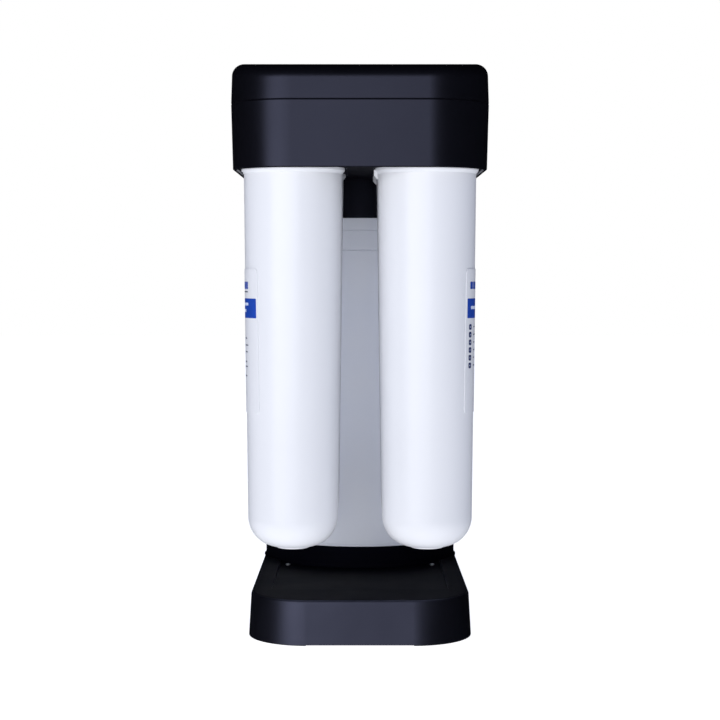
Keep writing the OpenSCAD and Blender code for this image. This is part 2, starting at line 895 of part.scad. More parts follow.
module collet(x) {
    in_y = ring_y + ring_room + collet_travel + 0.6;
    lip_y = port_end_y + collet_travel + 0.4;
    color("#2f6fb8")
        translate([x, 0, port_z])
            difference() {
                union() {
                    along_y(in_y, lip_y - in_y + eps, collet_r);
                    along_y(lip_y, collet_lip_t, collet_lip_r);
                }
                along_y(in_y - 1, 30, collet_bore_r);
            }
}

module drain_port() port(port_at[2]);
module feed_port() port(port_at[1]);
module clean_port() port(port_at[0]);
module drain_collet() collet(port_at[2]);
module feed_collet() collet(port_at[1]);
module clean_collet() collet(port_at[0]);

// ---------- shut-off valve ----------

aso_z = head_z + floor_t;
aso_body_nip_z = aso_z + 9.5;
aso_top_z = aso_z + aso_body_h;
aso_cover_z = aso_top_z + membrane_t;
aso_cover_nip_z = aso_cover_z + 4.5;

module aso_nipples(dx, z) {
    translate([dx, 0, z])
        along_y(-aso_r - aso_nipple + 2, 2 * (aso_r + aso_nipple) - 4, nipple_r);
}

module shutoff_body() {
    color("#f2f2f0")
        translate([aso_at[0], aso_at[1], 0])
            difference() {
                union() {
                    translate([0, 0, aso_z])
                        cylinder(r = aso_r, h = aso_body_h);
                    aso_nipples(aso_side, aso_body_nip_z);
                }
                translate([0, 0, aso_z + aso_room_up])
                    cylinder(r = aso_room_r, h = aso_body_h);
                translate([0, 0, aso_z + aso_guide_up])
                    cylinder(r = plunger_r + run_clear, h = aso_body_h);
                translate([aso_side, 0, aso_body_nip_z])
                    along_y(-40, 80, tube_bore);
            }
}

module shutoff_cover() {
    color("#e6e7e9")
        translate([aso_at[0], aso_at[1], 0])
            difference() {
                union() {
                    translate([0, 0, aso_cover_z])
                        cylinder(r = aso_r, h = aso_cover_h);
                    aso_nipples(-aso_side, aso_cover_nip_z);
                }
                translate([0, 0, aso_cover_z - 1])
                    cylinder(r = aso_room_r, h = aso_room_up + 1);
                translate([-aso_side, 0, aso_cover_nip_z])
                    along_y(-40, 80, tube_bore);
            }
}

module shutoff_diaphragm() {
    color("#404448")
        translate([aso_at[0], aso_at[1], aso_top_z])
            cylinder(r = aso_r - 2, h = membrane_t);
}

module shutoff_plunger() {
    foot_z = aso_z + aso_guide_up + aso_travel + 0.3;
    disc_z = aso_top_z - plunger_gap - plunger_disc_t;
    color("#d7d9dc")
        translate([aso_at[0], aso_at[1], 0]) {
            translate([0, 0, foot_z])
                cylinder(r = plunger_r, h = disc_z + 1 - foot_z);
            translate([0, 0, disc_z])
                cylinder(r = plunger_disc_r, h = plunger_disc_t);
        }
}

module shutoff_spring() {
    color("silver")
        translate([aso_at[0], aso_at[1], aso_z + aso_room_up + touch])
            coil(aso_spring_r, aso_wire_r, 3,
                aso_body_h - plunger_gap - plunger_disc_t - aso_room_up - 2 * touch);
}

// ---------- check valve and restrictor ----------

module check_valve_body() {
    color("#f2f2f0")
        translate([nipple_x[2], 0, gallery_z])
            difference() {
                along_y(check_y, check_len, check_r);
                along_y(check_y - 1, check_len + 2, tube_bore);
                along_y(check_y + check_room_at, check_room_len, check_bore_r);
            }
}

module check_poppet() {
    disc_y = check_y + check_room_at + check_seat_gap;
    color("#3c6fb4")
        translate([nipple_x[2], 0, gallery_z]) {
            along_y(disc_y, check_disc_t, check_bore_r - run_clear);
            along_y(disc_y, check_disc_t + check_stem_l, check_stem_r);
        }
}

module check_spring() {
    color("silver")
        translate([nipple_x[2], check_y + check_room_at + check_seat_gap + check_disc_t + touch, gallery_z])
            rotate([-90, 0, 0])
                coil(check_spring_r, check_wire_r, 5,
                    check_room_len - check_seat_gap - check_disc_t - 2 * touch);
}

module flow_restrictor() {
    color("#d9dadc")
        translate([restrictor_x, 0, gallery_z])
            difference() {
                union() {
                    along_y(check_y, restrictor_len, restrictor_r - 1);
                    along_y(check_y + 4, restrictor_len - 8, restrictor_r);
                }
                along_y(check_y - 1, restrictor_len + 2, restrictor_bore_r);
                along_y(check_y - 1, 4, tube_bore);
                along_y(check_y + restrictor_len - 3, 4, tube_bore);
            }
}

module inner_tubes() {
    back = [0, 1, 0];
    ahead = [0, -1, 0];
    gap = [0, touch, 0];
    deck_end = deck_rear_y + nipple_l;
    aso_in = aso_r + aso_nipple - 2;
    body_x = aso_at[0] + aso_side;
    cover_x = aso_at[0] - aso_side;
    color("white") {
        // feed: port to valve, valve to manifold
        bent_tube([port_at[1], port_in_y, port_z] - gap, ahead,
            [body_x, aso_at[1] + aso_in, aso_body_nip_z] + gap, back, 32);
        bent_tube([nipple_x[0], deck_end, gallery_z] + gap, back,
            [body_x, aso_at[1] - aso_in, aso_body_nip_z] - gap, ahead, 22);
        // permeate: manifold to check valve, check valve to valve cover, cover to tank
        bent_tube([nipple_x[2], deck_end, gallery_z] + gap, back,
            [nipple_x[2], check_y, gallery_z] - gap, ahead, 4);
        bent_tube([nipple_x[2], check_y + check_len, gallery_z] + gap, back,
            [cover_x, aso_at[1] - aso_in, aso_cover_nip_z] - gap, ahead, 8);
        bent_tube([cover_x, aso_at[1] + aso_in, aso_cover_nip_z] + gap, back,
            [tee_arm + touch, tank_y, tee_z], [1, 0, 0], 14);
        // tank to polishing cartridge, polishing cartridge to port
        bent_tube([-tee_arm - touch, tank_y, tee_z], [-1, 0, 0],
            [nipple_x[3], deck_end, gallery_z] + gap, back, 26);
        bent_tube([nipple_x[4], deck_end, gallery_z] + gap, back,
            [port_at[0], port_in_y, port_z] - gap, ahead, 50);
        // concentrate: manifold to restrictor, restrictor to port
        bent_tube([nipple_x[1], deck_end, gallery_z] + gap, back,
            [restrictor_x, check_y, gallery_z] - gap, ahead, 4);
        bent_tube([restrictor_x, check_y + restrictor_len, gallery_z] + gap, back,
            [port_at[2], port_in_y, port_z] - gap, ahead, 36);
    }
}

// ---------- cartridges ----------

function shell_r(z) =
    cart_low_r + (cart_r - cart_low_r) * (z - shell_z - cart_fillet) / (cart_len - cart_fillet);

module cartridge_cap(n) {
    plug_r = shell_r(weld_z - plug_h) - cart_wall - 0.15;
    flange_r = cart_r + flange_lip;
    groove_z = neck_top_z - neck_ring_drop;
    ring_low = groove_z - neck_ring - ring_slack;
    ring_high = groove_z + neck_ring + ring_slack;
    spigot_low = neck_top_z + spigot_ring_up;
    spigot_high = spigot_low + 2 * spigot_ring;
    under = weld_z - plug_h;
    color("#eef0f3")
        at_cartridge(n)
            difference() {
                union() {
                    rotate_extrude()
                        polygon([[0, under], [plug_r, under], [plug_r, weld_z],
                                 [cart_r, weld_z], [flange_r, lip_z], [flange_r, cap_top_z],
                                 [neck_r, cap_top_z],
                                 [neck_r, ring_low], [neck_groove_r, ring_low],
                                 [neck_groove_r, ring_high], [neck_r, ring_high],
                                 [neck_r, neck_top_z], [spigot_r, neck_top_z],
                                 [spigot_r, spigot_low], [spigot_groove_r, spigot_low],
                                 [spigot_groove_r, spigot_high], [spigot_r, spigot_high],
                                 [spigot_r, spigot_top_z], [0, spigot_top_z]]);
                    for (side = [0, 180])
                        sector(neck_r - 2, lug_r, side - lug_arc / 2, lug_arc, lug_z, lug_h);
                    // Index tab at the rim
                    rotate([0, 0, tab_angle[n]])
                        difference() {
                            translate([cart_r - tab_root, -tab_w / 2, lip_z - tab_h])
                                cube([tab_out + tab_root, tab_w, tab_h + 1]);
                            translate([0, 0, lip_z - tab_h - 1])
                                cylinder(r = cart_r + 0.1, h = tab_h + 1 - (lip_z - weld_z));
                            translate([cart_r + tab_out, 0, lip_z - tab_h - 1.5])
                                rotate([0, -tab_slant, 0])
                                    cube([6, 20, 5], center = true);
                        }
                }
                translate([0, 0, under - 1])
                    cylinder(r = cap_bore_r, h = 60);
                for (a = [0:60:300])
                    rotate([0, 0, a])
                        translate([cap_holes_at, 0, under - 1])
                            cylinder(r = cap_hole_r, h = 60);
            }
}

module cartridge_shell(n) {
    boss_z = shell_z - boss_h;
    in_r = shell_r(weld_z) - cart_wall;
    in_low_r = cart_low_r - cart_wall;
    in_fillet = cart_fillet - cart_wall;
    color("#eef0f3")
        at_cartridge(n)
            rotate_extrude()
                polygon(concat(
                    [[0, boss_z], [boss_r - 0.3, boss_z], [boss_r, boss_z + 0.3], [boss_r, shell_z]],
                    [for (a = [-90:10:0])
                        [max(boss_r, cart_low_r - cart_fillet + cart_fillet * cos(a)),
                         shell_z + cart_fillet + cart_fillet * sin(a)]],
                    [[cart_r, weld_z], [in_r, weld_z]],
                    [for (a = [0:-10:-90])
                        [in_low_r - in_fillet + in_fillet * cos(a),
                         shell_z + cart_wall + in_fillet + in_fillet * sin(a)]],
                    [[0, shell_z + cart_wall]]));
}

module cartridge_label(n) {
    low = shell_z + label_up;
    top = low + label_h;
    color("white")
        at_cartridge(n)
            rotate([0, 0, label_face[n] - label_wrap / 2])
                rotate_extrude(angle = label_wrap)
                    polygon([[shell_r(low) + touch, low], [shell_r(low) + label_t, low],
                             [shell_r(top) + label_t, top], [shell_r(top) + touch, top]]);
}

// Elements in order: pleated sediment, carbon block, polishing carbon, membrane roll
element_gap = [3.1, 2.6, 3.6, 5.1];
element_bore = [13, 11, 9, 4.2];
element_tint = ["#f3efe4", "#26262a", "#303034", "#dfe6ea"];

module cartridge_element(n) {
    body_r = element_room_r - element_gap[n];
    end_r = body_r + element_end_lip;
    foot_z = shell_z + cart_wall + touch;
    low = shell_z + cart_fillet;
    top = weld_z - plug_h - touch;
    color(element_tint[n])
        at_cartridge(n)
            difference() {
                union() {
                    translate([0, 0, foot_z])
                        cylinder(r = element_foot_r, h = low - foot_z + eps);
                    translate([0, 0, low])
                        cylinder(r = end_r, h = element_end_t);
                    translate([0, 0, low + element_end_t])
                        cylinder(r = body_r, h = top - low - 2 * element_end_t);
                    translate([0, 0, top - element_end_t])
                        cylinder(r = end_r, h = element_end_t);
                }
                translate([0, 0, low + element_end_t])
                    cylinder(r = element_bore[n], h = top - low);
            }
}

module cartridge_seals(n) {
    color("#2c2c2e")
        at_cartridge(n) {
            torus(neck_groove_r + neck_ring + touch, neck_ring, neck_top_z - neck_ring_drop);
            torus(spigot_groove_r + spigot_ring + touch, spigot_ring - touch,
                neck_top_z + spigot_ring_up + spigot_ring);
        }
}

module cartridge_piece(n, piece) {
    if (piece == "cap") cartridge_cap(n);
    if (piece == "shell") cartridge_shell(n);
    if (piece == "label") cartridge_label(n);
    if (piece == "element") cartridge_element(n);
    if (piece == "seals") cartridge_seals(n);
}

base_tray();
base_feet();
tank_collar();
collar_screws();
tank_lower_shell();
tank_band();
tank_dome();
tank_bladder();
tank_air_valve();
tank_neck();
tank_tee();
tank_shroud();
head_casing();
top_lid();
manifold();
manifold_cover();
head_screws();
drain_port();
feed_port();
clean_port();
port_seals();
drain_collet();
feed_collet();
clean_collet();
shutoff_body();
shutoff_cover();
shutoff_diaphragm();
shutoff_plunger();
shutoff_spring();
check_valve_body();
check_poppet();
check_spring();
flow_restrictor();
inner_tubes();
for (n = [1:4], piece = ["cap", "shell", "label", "element", "seals"])
    cartridge_piece(n - 1, piece);
for (n = [1:4])
    socket_poppet(n - 1);
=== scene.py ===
import math

import bmesh
import bpy
from mathutils import Matrix, Vector


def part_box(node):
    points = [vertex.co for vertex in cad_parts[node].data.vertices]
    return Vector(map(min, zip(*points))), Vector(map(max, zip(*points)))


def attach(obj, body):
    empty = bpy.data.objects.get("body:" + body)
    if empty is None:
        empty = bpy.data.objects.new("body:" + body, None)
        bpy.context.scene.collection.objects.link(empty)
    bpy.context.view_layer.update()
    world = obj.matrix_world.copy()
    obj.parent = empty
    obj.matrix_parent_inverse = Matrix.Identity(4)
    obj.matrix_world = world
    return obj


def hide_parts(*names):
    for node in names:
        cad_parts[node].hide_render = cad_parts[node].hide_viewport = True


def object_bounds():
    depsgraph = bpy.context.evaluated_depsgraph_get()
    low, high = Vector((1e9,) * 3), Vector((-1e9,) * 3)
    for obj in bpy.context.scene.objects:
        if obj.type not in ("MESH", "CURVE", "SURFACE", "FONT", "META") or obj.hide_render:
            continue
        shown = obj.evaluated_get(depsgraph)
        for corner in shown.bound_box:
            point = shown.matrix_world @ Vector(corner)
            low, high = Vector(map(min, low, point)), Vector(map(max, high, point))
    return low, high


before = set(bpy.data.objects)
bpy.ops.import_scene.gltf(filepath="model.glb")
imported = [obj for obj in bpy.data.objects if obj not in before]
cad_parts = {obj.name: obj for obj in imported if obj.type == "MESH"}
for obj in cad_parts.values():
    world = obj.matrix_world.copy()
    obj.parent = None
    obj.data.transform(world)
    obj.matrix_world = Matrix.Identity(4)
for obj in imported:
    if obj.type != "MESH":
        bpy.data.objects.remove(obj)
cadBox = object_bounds()
print("frame loaded")


# the camera stands level in front of the unit, a little over half its height
cameraView = {"focal": 88.0, "height": 0.2726, "distance": 1.2527, "shiftY": -0.1222}


def placeCamera():
    data = bpy.data.cameras.new("mainCamera")
    data.lens = cameraView["focal"]
    data.shift_y = cameraView["shiftY"]
    data.clip_start = 0.05
    data.clip_end = 40
    camera = bpy.data.objects.new("mainCamera", data)
    bpy.context.scene.collection.objects.link(camera)
    camera.location = (0, cadBox[0].y - cameraView["distance"], cameraView["height"])
    camera.rotation_euler = (math.radians(90), 0, 0)
    bpy.context.scene.camera = camera


placeCamera()
print("camera placed")


# mesh helpers, all in metres

def mm(*values):
    scaled = [value / 1000 for value in values]
    return scaled[0] if len(scaled) == 1 else scaled


def quarterTurn(steps):
    # angles from 0 to 90 degrees
    return [math.pi / 2 * k / steps for k in range(steps + 1)]


def softened(points, steps=6, closed=False):
    # points are (a, b) or (a, b, radius): a corner with a radius becomes an arc
    line = []
    count = len(points)
    for i, point in enumerate(points):
        corner = Vector(point[:2])
        isEnd = not closed and i in (0, count - 1)
        if len(point) == 2 or isEnd:
            line.append(corner)
            continue
        before = Vector(points[i - 1][:2]) - corner
        after = Vector(points[(i + 1) % count][:2]) - corner
        half = before.angle(after) / 2
        reach = min(point[2] / math.tan(half), 0.49 * before.length, 0.49 * after.length)
        radius = reach * math.tan(half)
        centre = corner + (before.normalized() + after.normalized()).normalized() * radius / math.sin(half)
        first = corner + before.normalized() * reach - centre
        last = corner + after.normalized() * reach - centre
        start = math.atan2(first.y, first.x)
        sweep = (math.atan2(last.y, last.x) - start + math.pi) % (2 * math.pi) - math.pi
        for k in range(steps + 1):
            angle = start + sweep * k / steps
            line.append(centre + radius * Vector((math.cos(angle), math.sin(angle))))
    return line


def addLathe(mesh, profile, place=None, steps=128):
    # a profile of (radius, height) turned round Z, then moved by place; it closes on itself off the axis
    place = place or Matrix.Identity(4)
    rings = []
    for radius, height in profile:
        if radius < 1e-6:
            rings.append([mesh.verts.new(place @ Vector((0, 0, height)))])
            continue
        turns = [2 * math.pi * k / steps for k in range(steps)]
        rings.append([mesh.verts.new(place @ Vector((radius * math.cos(t), radius * math.sin(t), height)))
                      for t in turns])
    pairs = list(zip(rings, rings[1:]))
    if len(rings[0]) > 1 and len(rings[-1]) > 1:
        pairs.append((rings[-1], rings[0]))
    for low, high in pairs:
        for k in range(steps):
            corners = [row[m % len(row)] for row, m in ((low, k), (low, k + 1), (high, k + 1), (high, k))]
            unique = list(dict.fromkeys(corners))
            if len(unique) > 2:
                mesh.faces.new(unique)


def planRing(halfWidth, frontY, rearY, frontRadius, rearRadius, height, steps=20):
    # a rounded outline in plan, anticlockwise from the right rear corner; height is a number or a rule of y
    corners = ((1, rearY - rearRadius, rearRadius), (-1, rearY - rearRadius, rearRadius),
               (-1, frontY + frontRadius, frontRadius), (1, frontY + frontRadius, frontRadius))
    points = []
    for quarter, (side, centreY, radius) in enumerate(corners):
        for k in range(steps + 1):
            angle = math.pi / 2 * (quarter + k / steps)
            x = side * (halfWidth - radius) + radius * math.cos(angle)
            y = centreY + radius * math.sin(angle)
            points.append(Vector((x, y, height(y) if callable(height) else height)))
    return points


def addLoft(mesh, rings, place=None):
    # skins neighbouring rings and closes both ends with a ladder of quads across the width
    place = place or Matrix.Identity(4)
    rows = [[mesh.verts.new(place @ point) for point in ring] for ring in rings]
    count = len(rows[0])
    for low, high in zip(rows, rows[1:]):
        for k in range(count):
            mesh.faces.new((low[k], low[(k + 1) % count], high[(k + 1) % count], high[k]))
    half = count // 2
    quarter = half // 2
    pairs = [(k, half - 1 - k) for k in range(quarter - 1, -1, -1)]
    pairs += [(count - 1 - k, half + k) for k in range(0, quarter)]
    for row in (rows[0], rows[-1]):
        for (right, left), (nextRight, nextLeft) in zip(pairs, pairs[1:]):
            mesh.faces.new((row[right], row[left], row[nextLeft], row[nextRight]))


def addPrism(mesh, rows):
    # skins closed rows of places, one after another, and closes both ends
    rows = [[mesh.verts.new(place) for place in row] for row in rows]
    for one, two in zip(rows, rows[1:]):
        for k in range(len(one)):
            nextK = (k + 1) % len(one)
            mesh.faces.new((one[k], one[nextK], two[nextK], two[k]))
    mesh.faces.new(rows[0])
    mesh.faces.new(rows[-1])


def makePiece(name, mesh):
    bmesh.ops.remove_doubles(mesh, verts=mesh.verts, dist=1e-7)
    bmesh.ops.dissolve_degenerate(mesh, edges=mesh.edges, dist=1e-7)
    bmesh.ops.recalc_face_normals(mesh, faces=mesh.faces)
    data = bpy.data.meshes.new(name)
    mesh.to_mesh(data)
    mesh.free()
    piece = bpy.data.objects.new(name, data)
    bpy.context.scene.collection.objects.link(piece)
    return piece


def lathePiece(name, profile, place=None, steps=128):
    mesh = bmesh.new()
    addLathe(mesh, profile, place, steps)
    return makePiece(name, mesh)


def loftPiece(name, rings, place=None):
    mesh = bmesh.new()
    addLoft(mesh, rings, place)
    return makePiece(name, mesh)


def prismPiece(name, rows):
    mesh = bmesh.new()
    addPrism(mesh, rows)
    return makePiece(name, mesh)


def combine(piece, tools, operation):
    # joins or cuts with closed meshes, one after another, then drops them
    for tool in tools:
        step = piece.modifiers.new(operation.lower(), "BOOLEAN")
        step.operation = operation
        step.object = tool
        step.solver = "EXACT"
    graph = bpy.context.evaluated_depsgraph_get()
    result = bpy.data.meshes.new_from_object(piece.evaluated_get(graph))
    piece.modifiers.clear()
    piece.data = result
    for tool in tools:
        bpy.data.objects.remove(tool)
    return piece


def aimY(x, z):
    # stands a lathe or a loft along +Y at a place in X and Z
    return Matrix(((1, 0, 0, x), (0, 0, 1, 0), (0, 1, 0, z), (0, 0, 0, 1)))


def blockAlongY(name, low, high, radius, flare=0.0):
    # a block with four round edges along Y; flare widens its far end
    centre = (low + high) / 2
    size = high - low
    halfWidth, halfHeight = size.x / 2, size.z / 2
    ends = [(0, low.y), (0, high.y)] if not flare else [(0, low.y), (0, high.y - 3 * flare), (flare, high.y)]
    rings = [planRing(halfWidth + grow, -halfHeight - grow, halfHeight + grow,
                      radius + grow, radius + grow, y, 6) for grow, y in ends]
    return loftPiece(name, rings, aimY(centre.x, centre.z))


def plug(name, x, y, radius, low, high, steps=128):
    # an upright solid cylinder
    return lathePiece(name, [(0, low), (radius, low), (radius, high), (0, high)],
                      Matrix.Translation((x, y, 0)), steps)


def islands(node):
    # centre and half width in plan of each separate solid in a node
    data = bmesh.new()
    data.from_mesh(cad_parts[node].data)
    bmesh.ops.remove_doubles(data, verts=data.verts, dist=1e-6)
    left = set(data.verts)
    places = []
    while left:
        grown, found = [left.pop()], []
        while grown:
            vert = grown.pop()
            found.append(vert)
            for edge in vert.link_edges:
                other = edge.other_vert(vert)
                if other in left:
                    left.discard(other)
                    grown.append(other)
        xs = [v.co.x for v in found]
        ys = [v.co.y for v in found]
        places.append(((min(xs) + max(xs)) / 2, (min(ys) + max(ys)) / 2, (max(xs) - min(xs)) / 2))
    data.free()
    return sorted(places)


def finishPiece(piece, material, body, nodes=(), sharpAngle=35):
    piece.data.materials.clear()
    piece.data.materials.append(material)
    piece.data.shade_smooth()
    piece.data.set_sharp_from_angle(angle=math.radians(sharpAngle))
    weights = piece.modifiers.new("faceWeights", "WEIGHTED_NORMAL")
    weights.keep_sharp = True
    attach(piece, body)
    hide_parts(*nodes)
    return piece


# materials

def paintShadeOnFaces(piece, second, isChosen):
    # gives a second, darker material to the faces whose centre and normal pass the rule: painted shade by the
    # way a face points
    piece.data.materials.append(second)
    for face in piece.data.polygons:
        if isChosen(face.center, face.normal):
            face.material_index = 1


def linear(hexColour):
    def channel(text):
        value = int(text, 16) / 255
        return value / 12.92 if value <= 0.04045 else ((value + 0.055) / 1.055) ** 2.4
    return [channel(hexColour[i:i + 2]) for i in (0, 2, 4)] + [1.0]


def addNode(tree, kind, settings=None, links=None):
    node = tree.nodes.new(kind)
    for name, value in (settings or {}).items():
        if isinstance(name, str) and hasattr(node, name):
            setattr(node, name, value)
        else:
            node.inputs[name].default_value = value
    for name, source in (links or {}).items():
        tree.links.new(source, node.inputs[name])
    return node


def perMetre(sizeMm):
    return 1000 / sizeMm


def makeFinish(name, look):
    # two tones in soft blotches, a roughness that drifts, and a fine relief
    material = bpy.data.materials.new(name)
    material.use_nodes = True
    tree = material.node_tree
    shader = tree.nodes["Principled BSDF"]
    for socket, value in look.get("sockets", {}).items():
        shader.inputs[socket].default_value = value
    place = addNode(tree, "ShaderNodeTexCoord").outputs["Object"]
    blotch = addNode(tree, "ShaderNodeTexNoise",
                     {"Scale": perMetre(look["blotchMm"]), "Detail": 3.0, "Roughness": 0.55},
                     {"Vector": place})
    tone = addNode(tree, "ShaderNodeMapRange",
                   {"From Min": 0.3, "From Max": 0.7}, {"Value": blotch.outputs["Fac"]})
    tint = addNode(tree, "ShaderNodeMix",
                   {"data_type": "RGBA", 6: linear(look["colours"][0]), 7: linear(look["colours"][1])},
                   {0: tone.outputs["Result"]})
    grainKind = look.get("grainKind", "ShaderNodeTexNoise")
    grainSettings = {"Scale": perMetre(look["grainMm"])}
    grainSettings.update(look.get("grainSettings", {}))
    grain = addNode(tree, grainKind, grainSettings, {"Vector": place})
    height = grain.outputs["Distance"] if grainKind == "ShaderNodeTexVoronoi" else grain.outputs["Fac"]
    gloss = addNode(tree, "ShaderNodeMapRange",
                    {"From Min": 0.25, "From Max": 0.75, "To Min": look["roughness"][0],
                     "To Max": look["roughness"][1]}, {"Value": blotch.outputs["Fac"]})
    relief = addNode(tree, "ShaderNodeBump",
                     {"Strength": look.get("grainStrength", 0.5), "Distance": mm(look["grainDepthMm"])},
                     {"Height": height})
    tree.links.new(tint.outputs[2], shader.inputs["Base Color"])
    tree.links.new(gloss.outputs["Result"], shader.inputs["Roughness"])
    tree.links.new(relief.outputs["Normal"], shader.inputs["Normal"])
    return material


# Mould grain is 0.1 to 0.2 mm in truth; grainMm draws it coarser where it would not show.

# ABS for the head, moulded in a fine spark-eroded tool: near black, a cool satin sheen
coolSheen = linear("CCD2FF")
headAbs = makeFinish("mouldedAbsSatin", {
    "colours": ("09090D", "0B0B10"), "blotchMm": 60, "roughness": (0.34, 0.38),
    "grainMm": 0.9, "grainDepthMm": 0.012, "grainStrength": 0.3,
    "sockets": {"IOR": 1.5, "Specular IOR Level": 0.45, "Specular Tint": coolSheen}})

# the same ABS for the tray, from a plainer tool: a little rougher, its glints spread wide
trayAbs = makeFinish("mouldedAbsTray", {
    "colours": ("08080B", "0B0B10"), "blotchMm": 45, "roughness": (0.46, 0.52),
    "grainMm": 1.1, "grainDepthMm": 0.016, "grainStrength": 0.35,
    "sockets": {"IOR": 1.5, "Specular IOR Level": 1.0, "Specular Tint": coolSheen}})

# a coarse spark texture on the tray's top, the tank ring and the casing's underside, with a darker colour and
# a faint sheen painted on as shade there
texturedAbsPaintedShade = makeFinish("mouldedAbsTexturedPaintedShade", {
    "colours": ("05050C", "07070F"), "blotchMm": 45, "roughness": (0.62, 0.7),
    "grainMm": 0.7, "grainDepthMm": 0.03, "grainStrength": 0.5,
    "sockets": {"IOR": 1.5, "Specular IOR Level": 0.04, "Specular Tint": coolSheen}})

# the shroud's skin lies between the two in sheen; its darker colour and weaker sheen are painted shade in the
# gap between the cartridges
shroudAbsPaintedShade = makeFinish("mouldedAbsShroudPaintedShade", {
    "colours": ("050507", "070709"), "blotchMm": 45, "roughness": (0.4, 0.46),
    "grainMm": 0.9, "grainDepthMm": 0.02, "grainStrength": 0.4,
    "sockets": {"IOR": 1.5, "Specular IOR Level": 0.2, "Specular Tint": coolSheen}})

# polypropylene cartridges, moulded in a polished tool: clean white, soft gloss, hardly any grain
cartridgePolypropylene = makeFinish("mouldedPolypropyleneGloss", {
    "colours": ("E8E9EC", "E6E7EA"), "blotchMm": 90, "roughness": (0.29, 0.32),
    "grainMm": 2.2, "grainDepthMm": 0.003, "grainStrength": 0.1,
    "sockets": {"IOR": 1.49}})

# welded polypropylene tank: the cartridges' white plastic with a satin skin, painted brighter and bluer to
# stand in for light in the shade between the cartridges
tankPolypropylenePaintedLight = makeFinish("mouldedPolypropyleneSatinPaintedLight", {
    "colours": ("F8FAFF", "F4F7FF"), "blotchMm": 70, "roughness": (0.34, 0.42),
    "grainMm": 3, "grainDepthMm": 0.005, "grainStrength": 0.15,
    "sockets": {"IOR": 1.49}})

# printed polypropylene film: an even white with a clear varnish
labelFilm = makeFinish("printedFilmVarnished", {
    "colours": ("E8E9EC", "E6E7EA"), "blotchMm": 40, "roughness": (0.3, 0.34),
    "grainMm": 1.5, "grainDepthMm": 0.006, "grainStrength": 0.3, "sockets": {"IOR": 1.49}})

# screen ink laid on the film: flat strong blue with a slight drag in the coat
blueInk = makeFinish("screenInkBlue", {
    "colours": ("1448B4", "1142A8"), "blotchMm": 12, "roughness": (0.4, 0.46),
    "grainMm": 0.8, "grainDepthMm": 0.004, "sockets": {"IOR": 1.5}})

# the darker blue of the small squares
navyInk = makeFinish("screenInkNavy", {
    "colours": ("1C2A66", "18255C"), "blotchMm": 12, "roughness": (0.42, 0.48),
    "grainMm": 0.8, "grainDepthMm": 0.004, "sockets": {"IOR": 1.5}})

# thin grey print of the small lines
greyInk = makeFinish("screenInkGrey", {
    "colours": ("6A7080", "5F6575"), "blotchMm": 8, "roughness": (0.46, 0.5),
    "grainMm": 0.8, "grainDepthMm": 0.003, "sockets": {"IOR": 1.5}})

# white print inside the blue block
whiteInk = makeFinish("screenInkWhite", {
    "colours": ("D8E2F6", "CFDCF4"), "blotchMm": 8, "roughness": (0.42, 0.48),
    "grainMm": 0.8, "grainDepthMm": 0.003, "sockets": {"IOR": 1.5}})

# acetal and polypropylene inside the head: milky white, plain mould skin
whiteAcetal = makeFinish("mouldedAcetalWhite", {
    "colours": ("E4E5E6", "DCDEE0"), "blotchMm": 35, "roughness": (0.34, 0.42),
    "grainMm": 1.2, "grainDepthMm": 0.01, "sockets": {"IOR": 1.48, "Subsurface Weight": 0.05}})
naturalPolypropylene = makeFinish("mouldedPolypropyleneNatural", {
    "colours": ("CFD2D4", "C6CACD"), "blotchMm": 30, "roughness": (0.38, 0.48),
    "grainMm": 2.0, "grainDepthMm": 0.015, "sockets": {"IOR": 1.49, "Subsurface Weight": 0.12}})

# extruded polyethylene tube: waxy white with faint lines from the die
tubePolyethylene = makeFinish("extrudedPolyethylene", {
    "colours": ("EDEEEE", "E3E5E6"), "blotchMm": 25, "roughness": (0.3, 0.4),
    "grainMm": 1.0, "grainDepthMm": 0.01, "sockets": {"IOR": 1.51, "Subsurface Weight": 0.15}})

# collets moulded in dyed acetal: clear mid blue, slippery low sheen
colletAcetal = makeFinish("mouldedAcetalBlue", {
    "colours": ("2A63B4", "2459A8"), "blotchMm": 10, "roughness": (0.3, 0.38),
    "grainMm": 0.8, "grainDepthMm": 0.008, "sockets": {"IOR": 1.48}})

# compression moulded rubbers: dull black, a dusty bloom on the feet
footRubber = makeFinish("mouldedRubberFoot", {
    "colours": ("1B1B1C", "2B2B2C"), "blotchMm": 7, "roughness": (0.7, 0.85),
    "grainMm": 0.5, "grainDepthMm": 0.03, "sockets": {"IOR": 1.52}})
sealRubber = makeFinish("mouldedNitrileSeal", {
    "colours": ("121213", "171718"), "blotchMm": 5, "roughness": (0.4, 0.5),
    "grainMm": 0.4, "grainDepthMm": 0.01, "sockets": {"IOR": 1.52}})
bladderRubber = makeFinish("mouldedButylBladder", {
    "colours": ("2E3134", "383B3F"), "blotchMm": 30, "roughness": (0.6, 0.7),
    "grainMm": 1.5, "grainDepthMm": 0.05, "sockets": {"IOR": 1.52}})

# zinc plate on cold-headed screws: bright grey with a soft spangle
zincPlate = makeFinish("zincPlatedSteel", {
    "colours": ("C9CCD0", "B5B9BE"), "blotchMm": 1.5, "roughness": (0.3, 0.4),
    "grainKind": "ShaderNodeTexVoronoi", "grainMm": 0.4, "grainDepthMm": 0.01,
    "sockets": {"Metallic": 1.0}})

# drawn spring wire: darker steel, fine lines from the die
springWire = makeFinish("drawnSpringSteel", {
    "colours": ("A9ABAE", "96999D"), "blotchMm": 2, "roughness": (0.28, 0.36),
    "grainMm": 0.3, "grainDepthMm": 0.005, "sockets": {"Metallic": 1.0}})

# turned brass of the air valve: warm yellow with tool rings
turnedBrass = makeFinish("turnedBrass", {
    "colours": ("C6A460", "B8944E"), "blotchMm": 4, "roughness": (0.24, 0.34),
    "grainKind": "ShaderNodeTexWave", "grainMm": 0.3, "grainDepthMm": 0.01,
    "grainSettings": {"bands_direction": "Z"}, "sockets": {"Metallic": 1.0}})

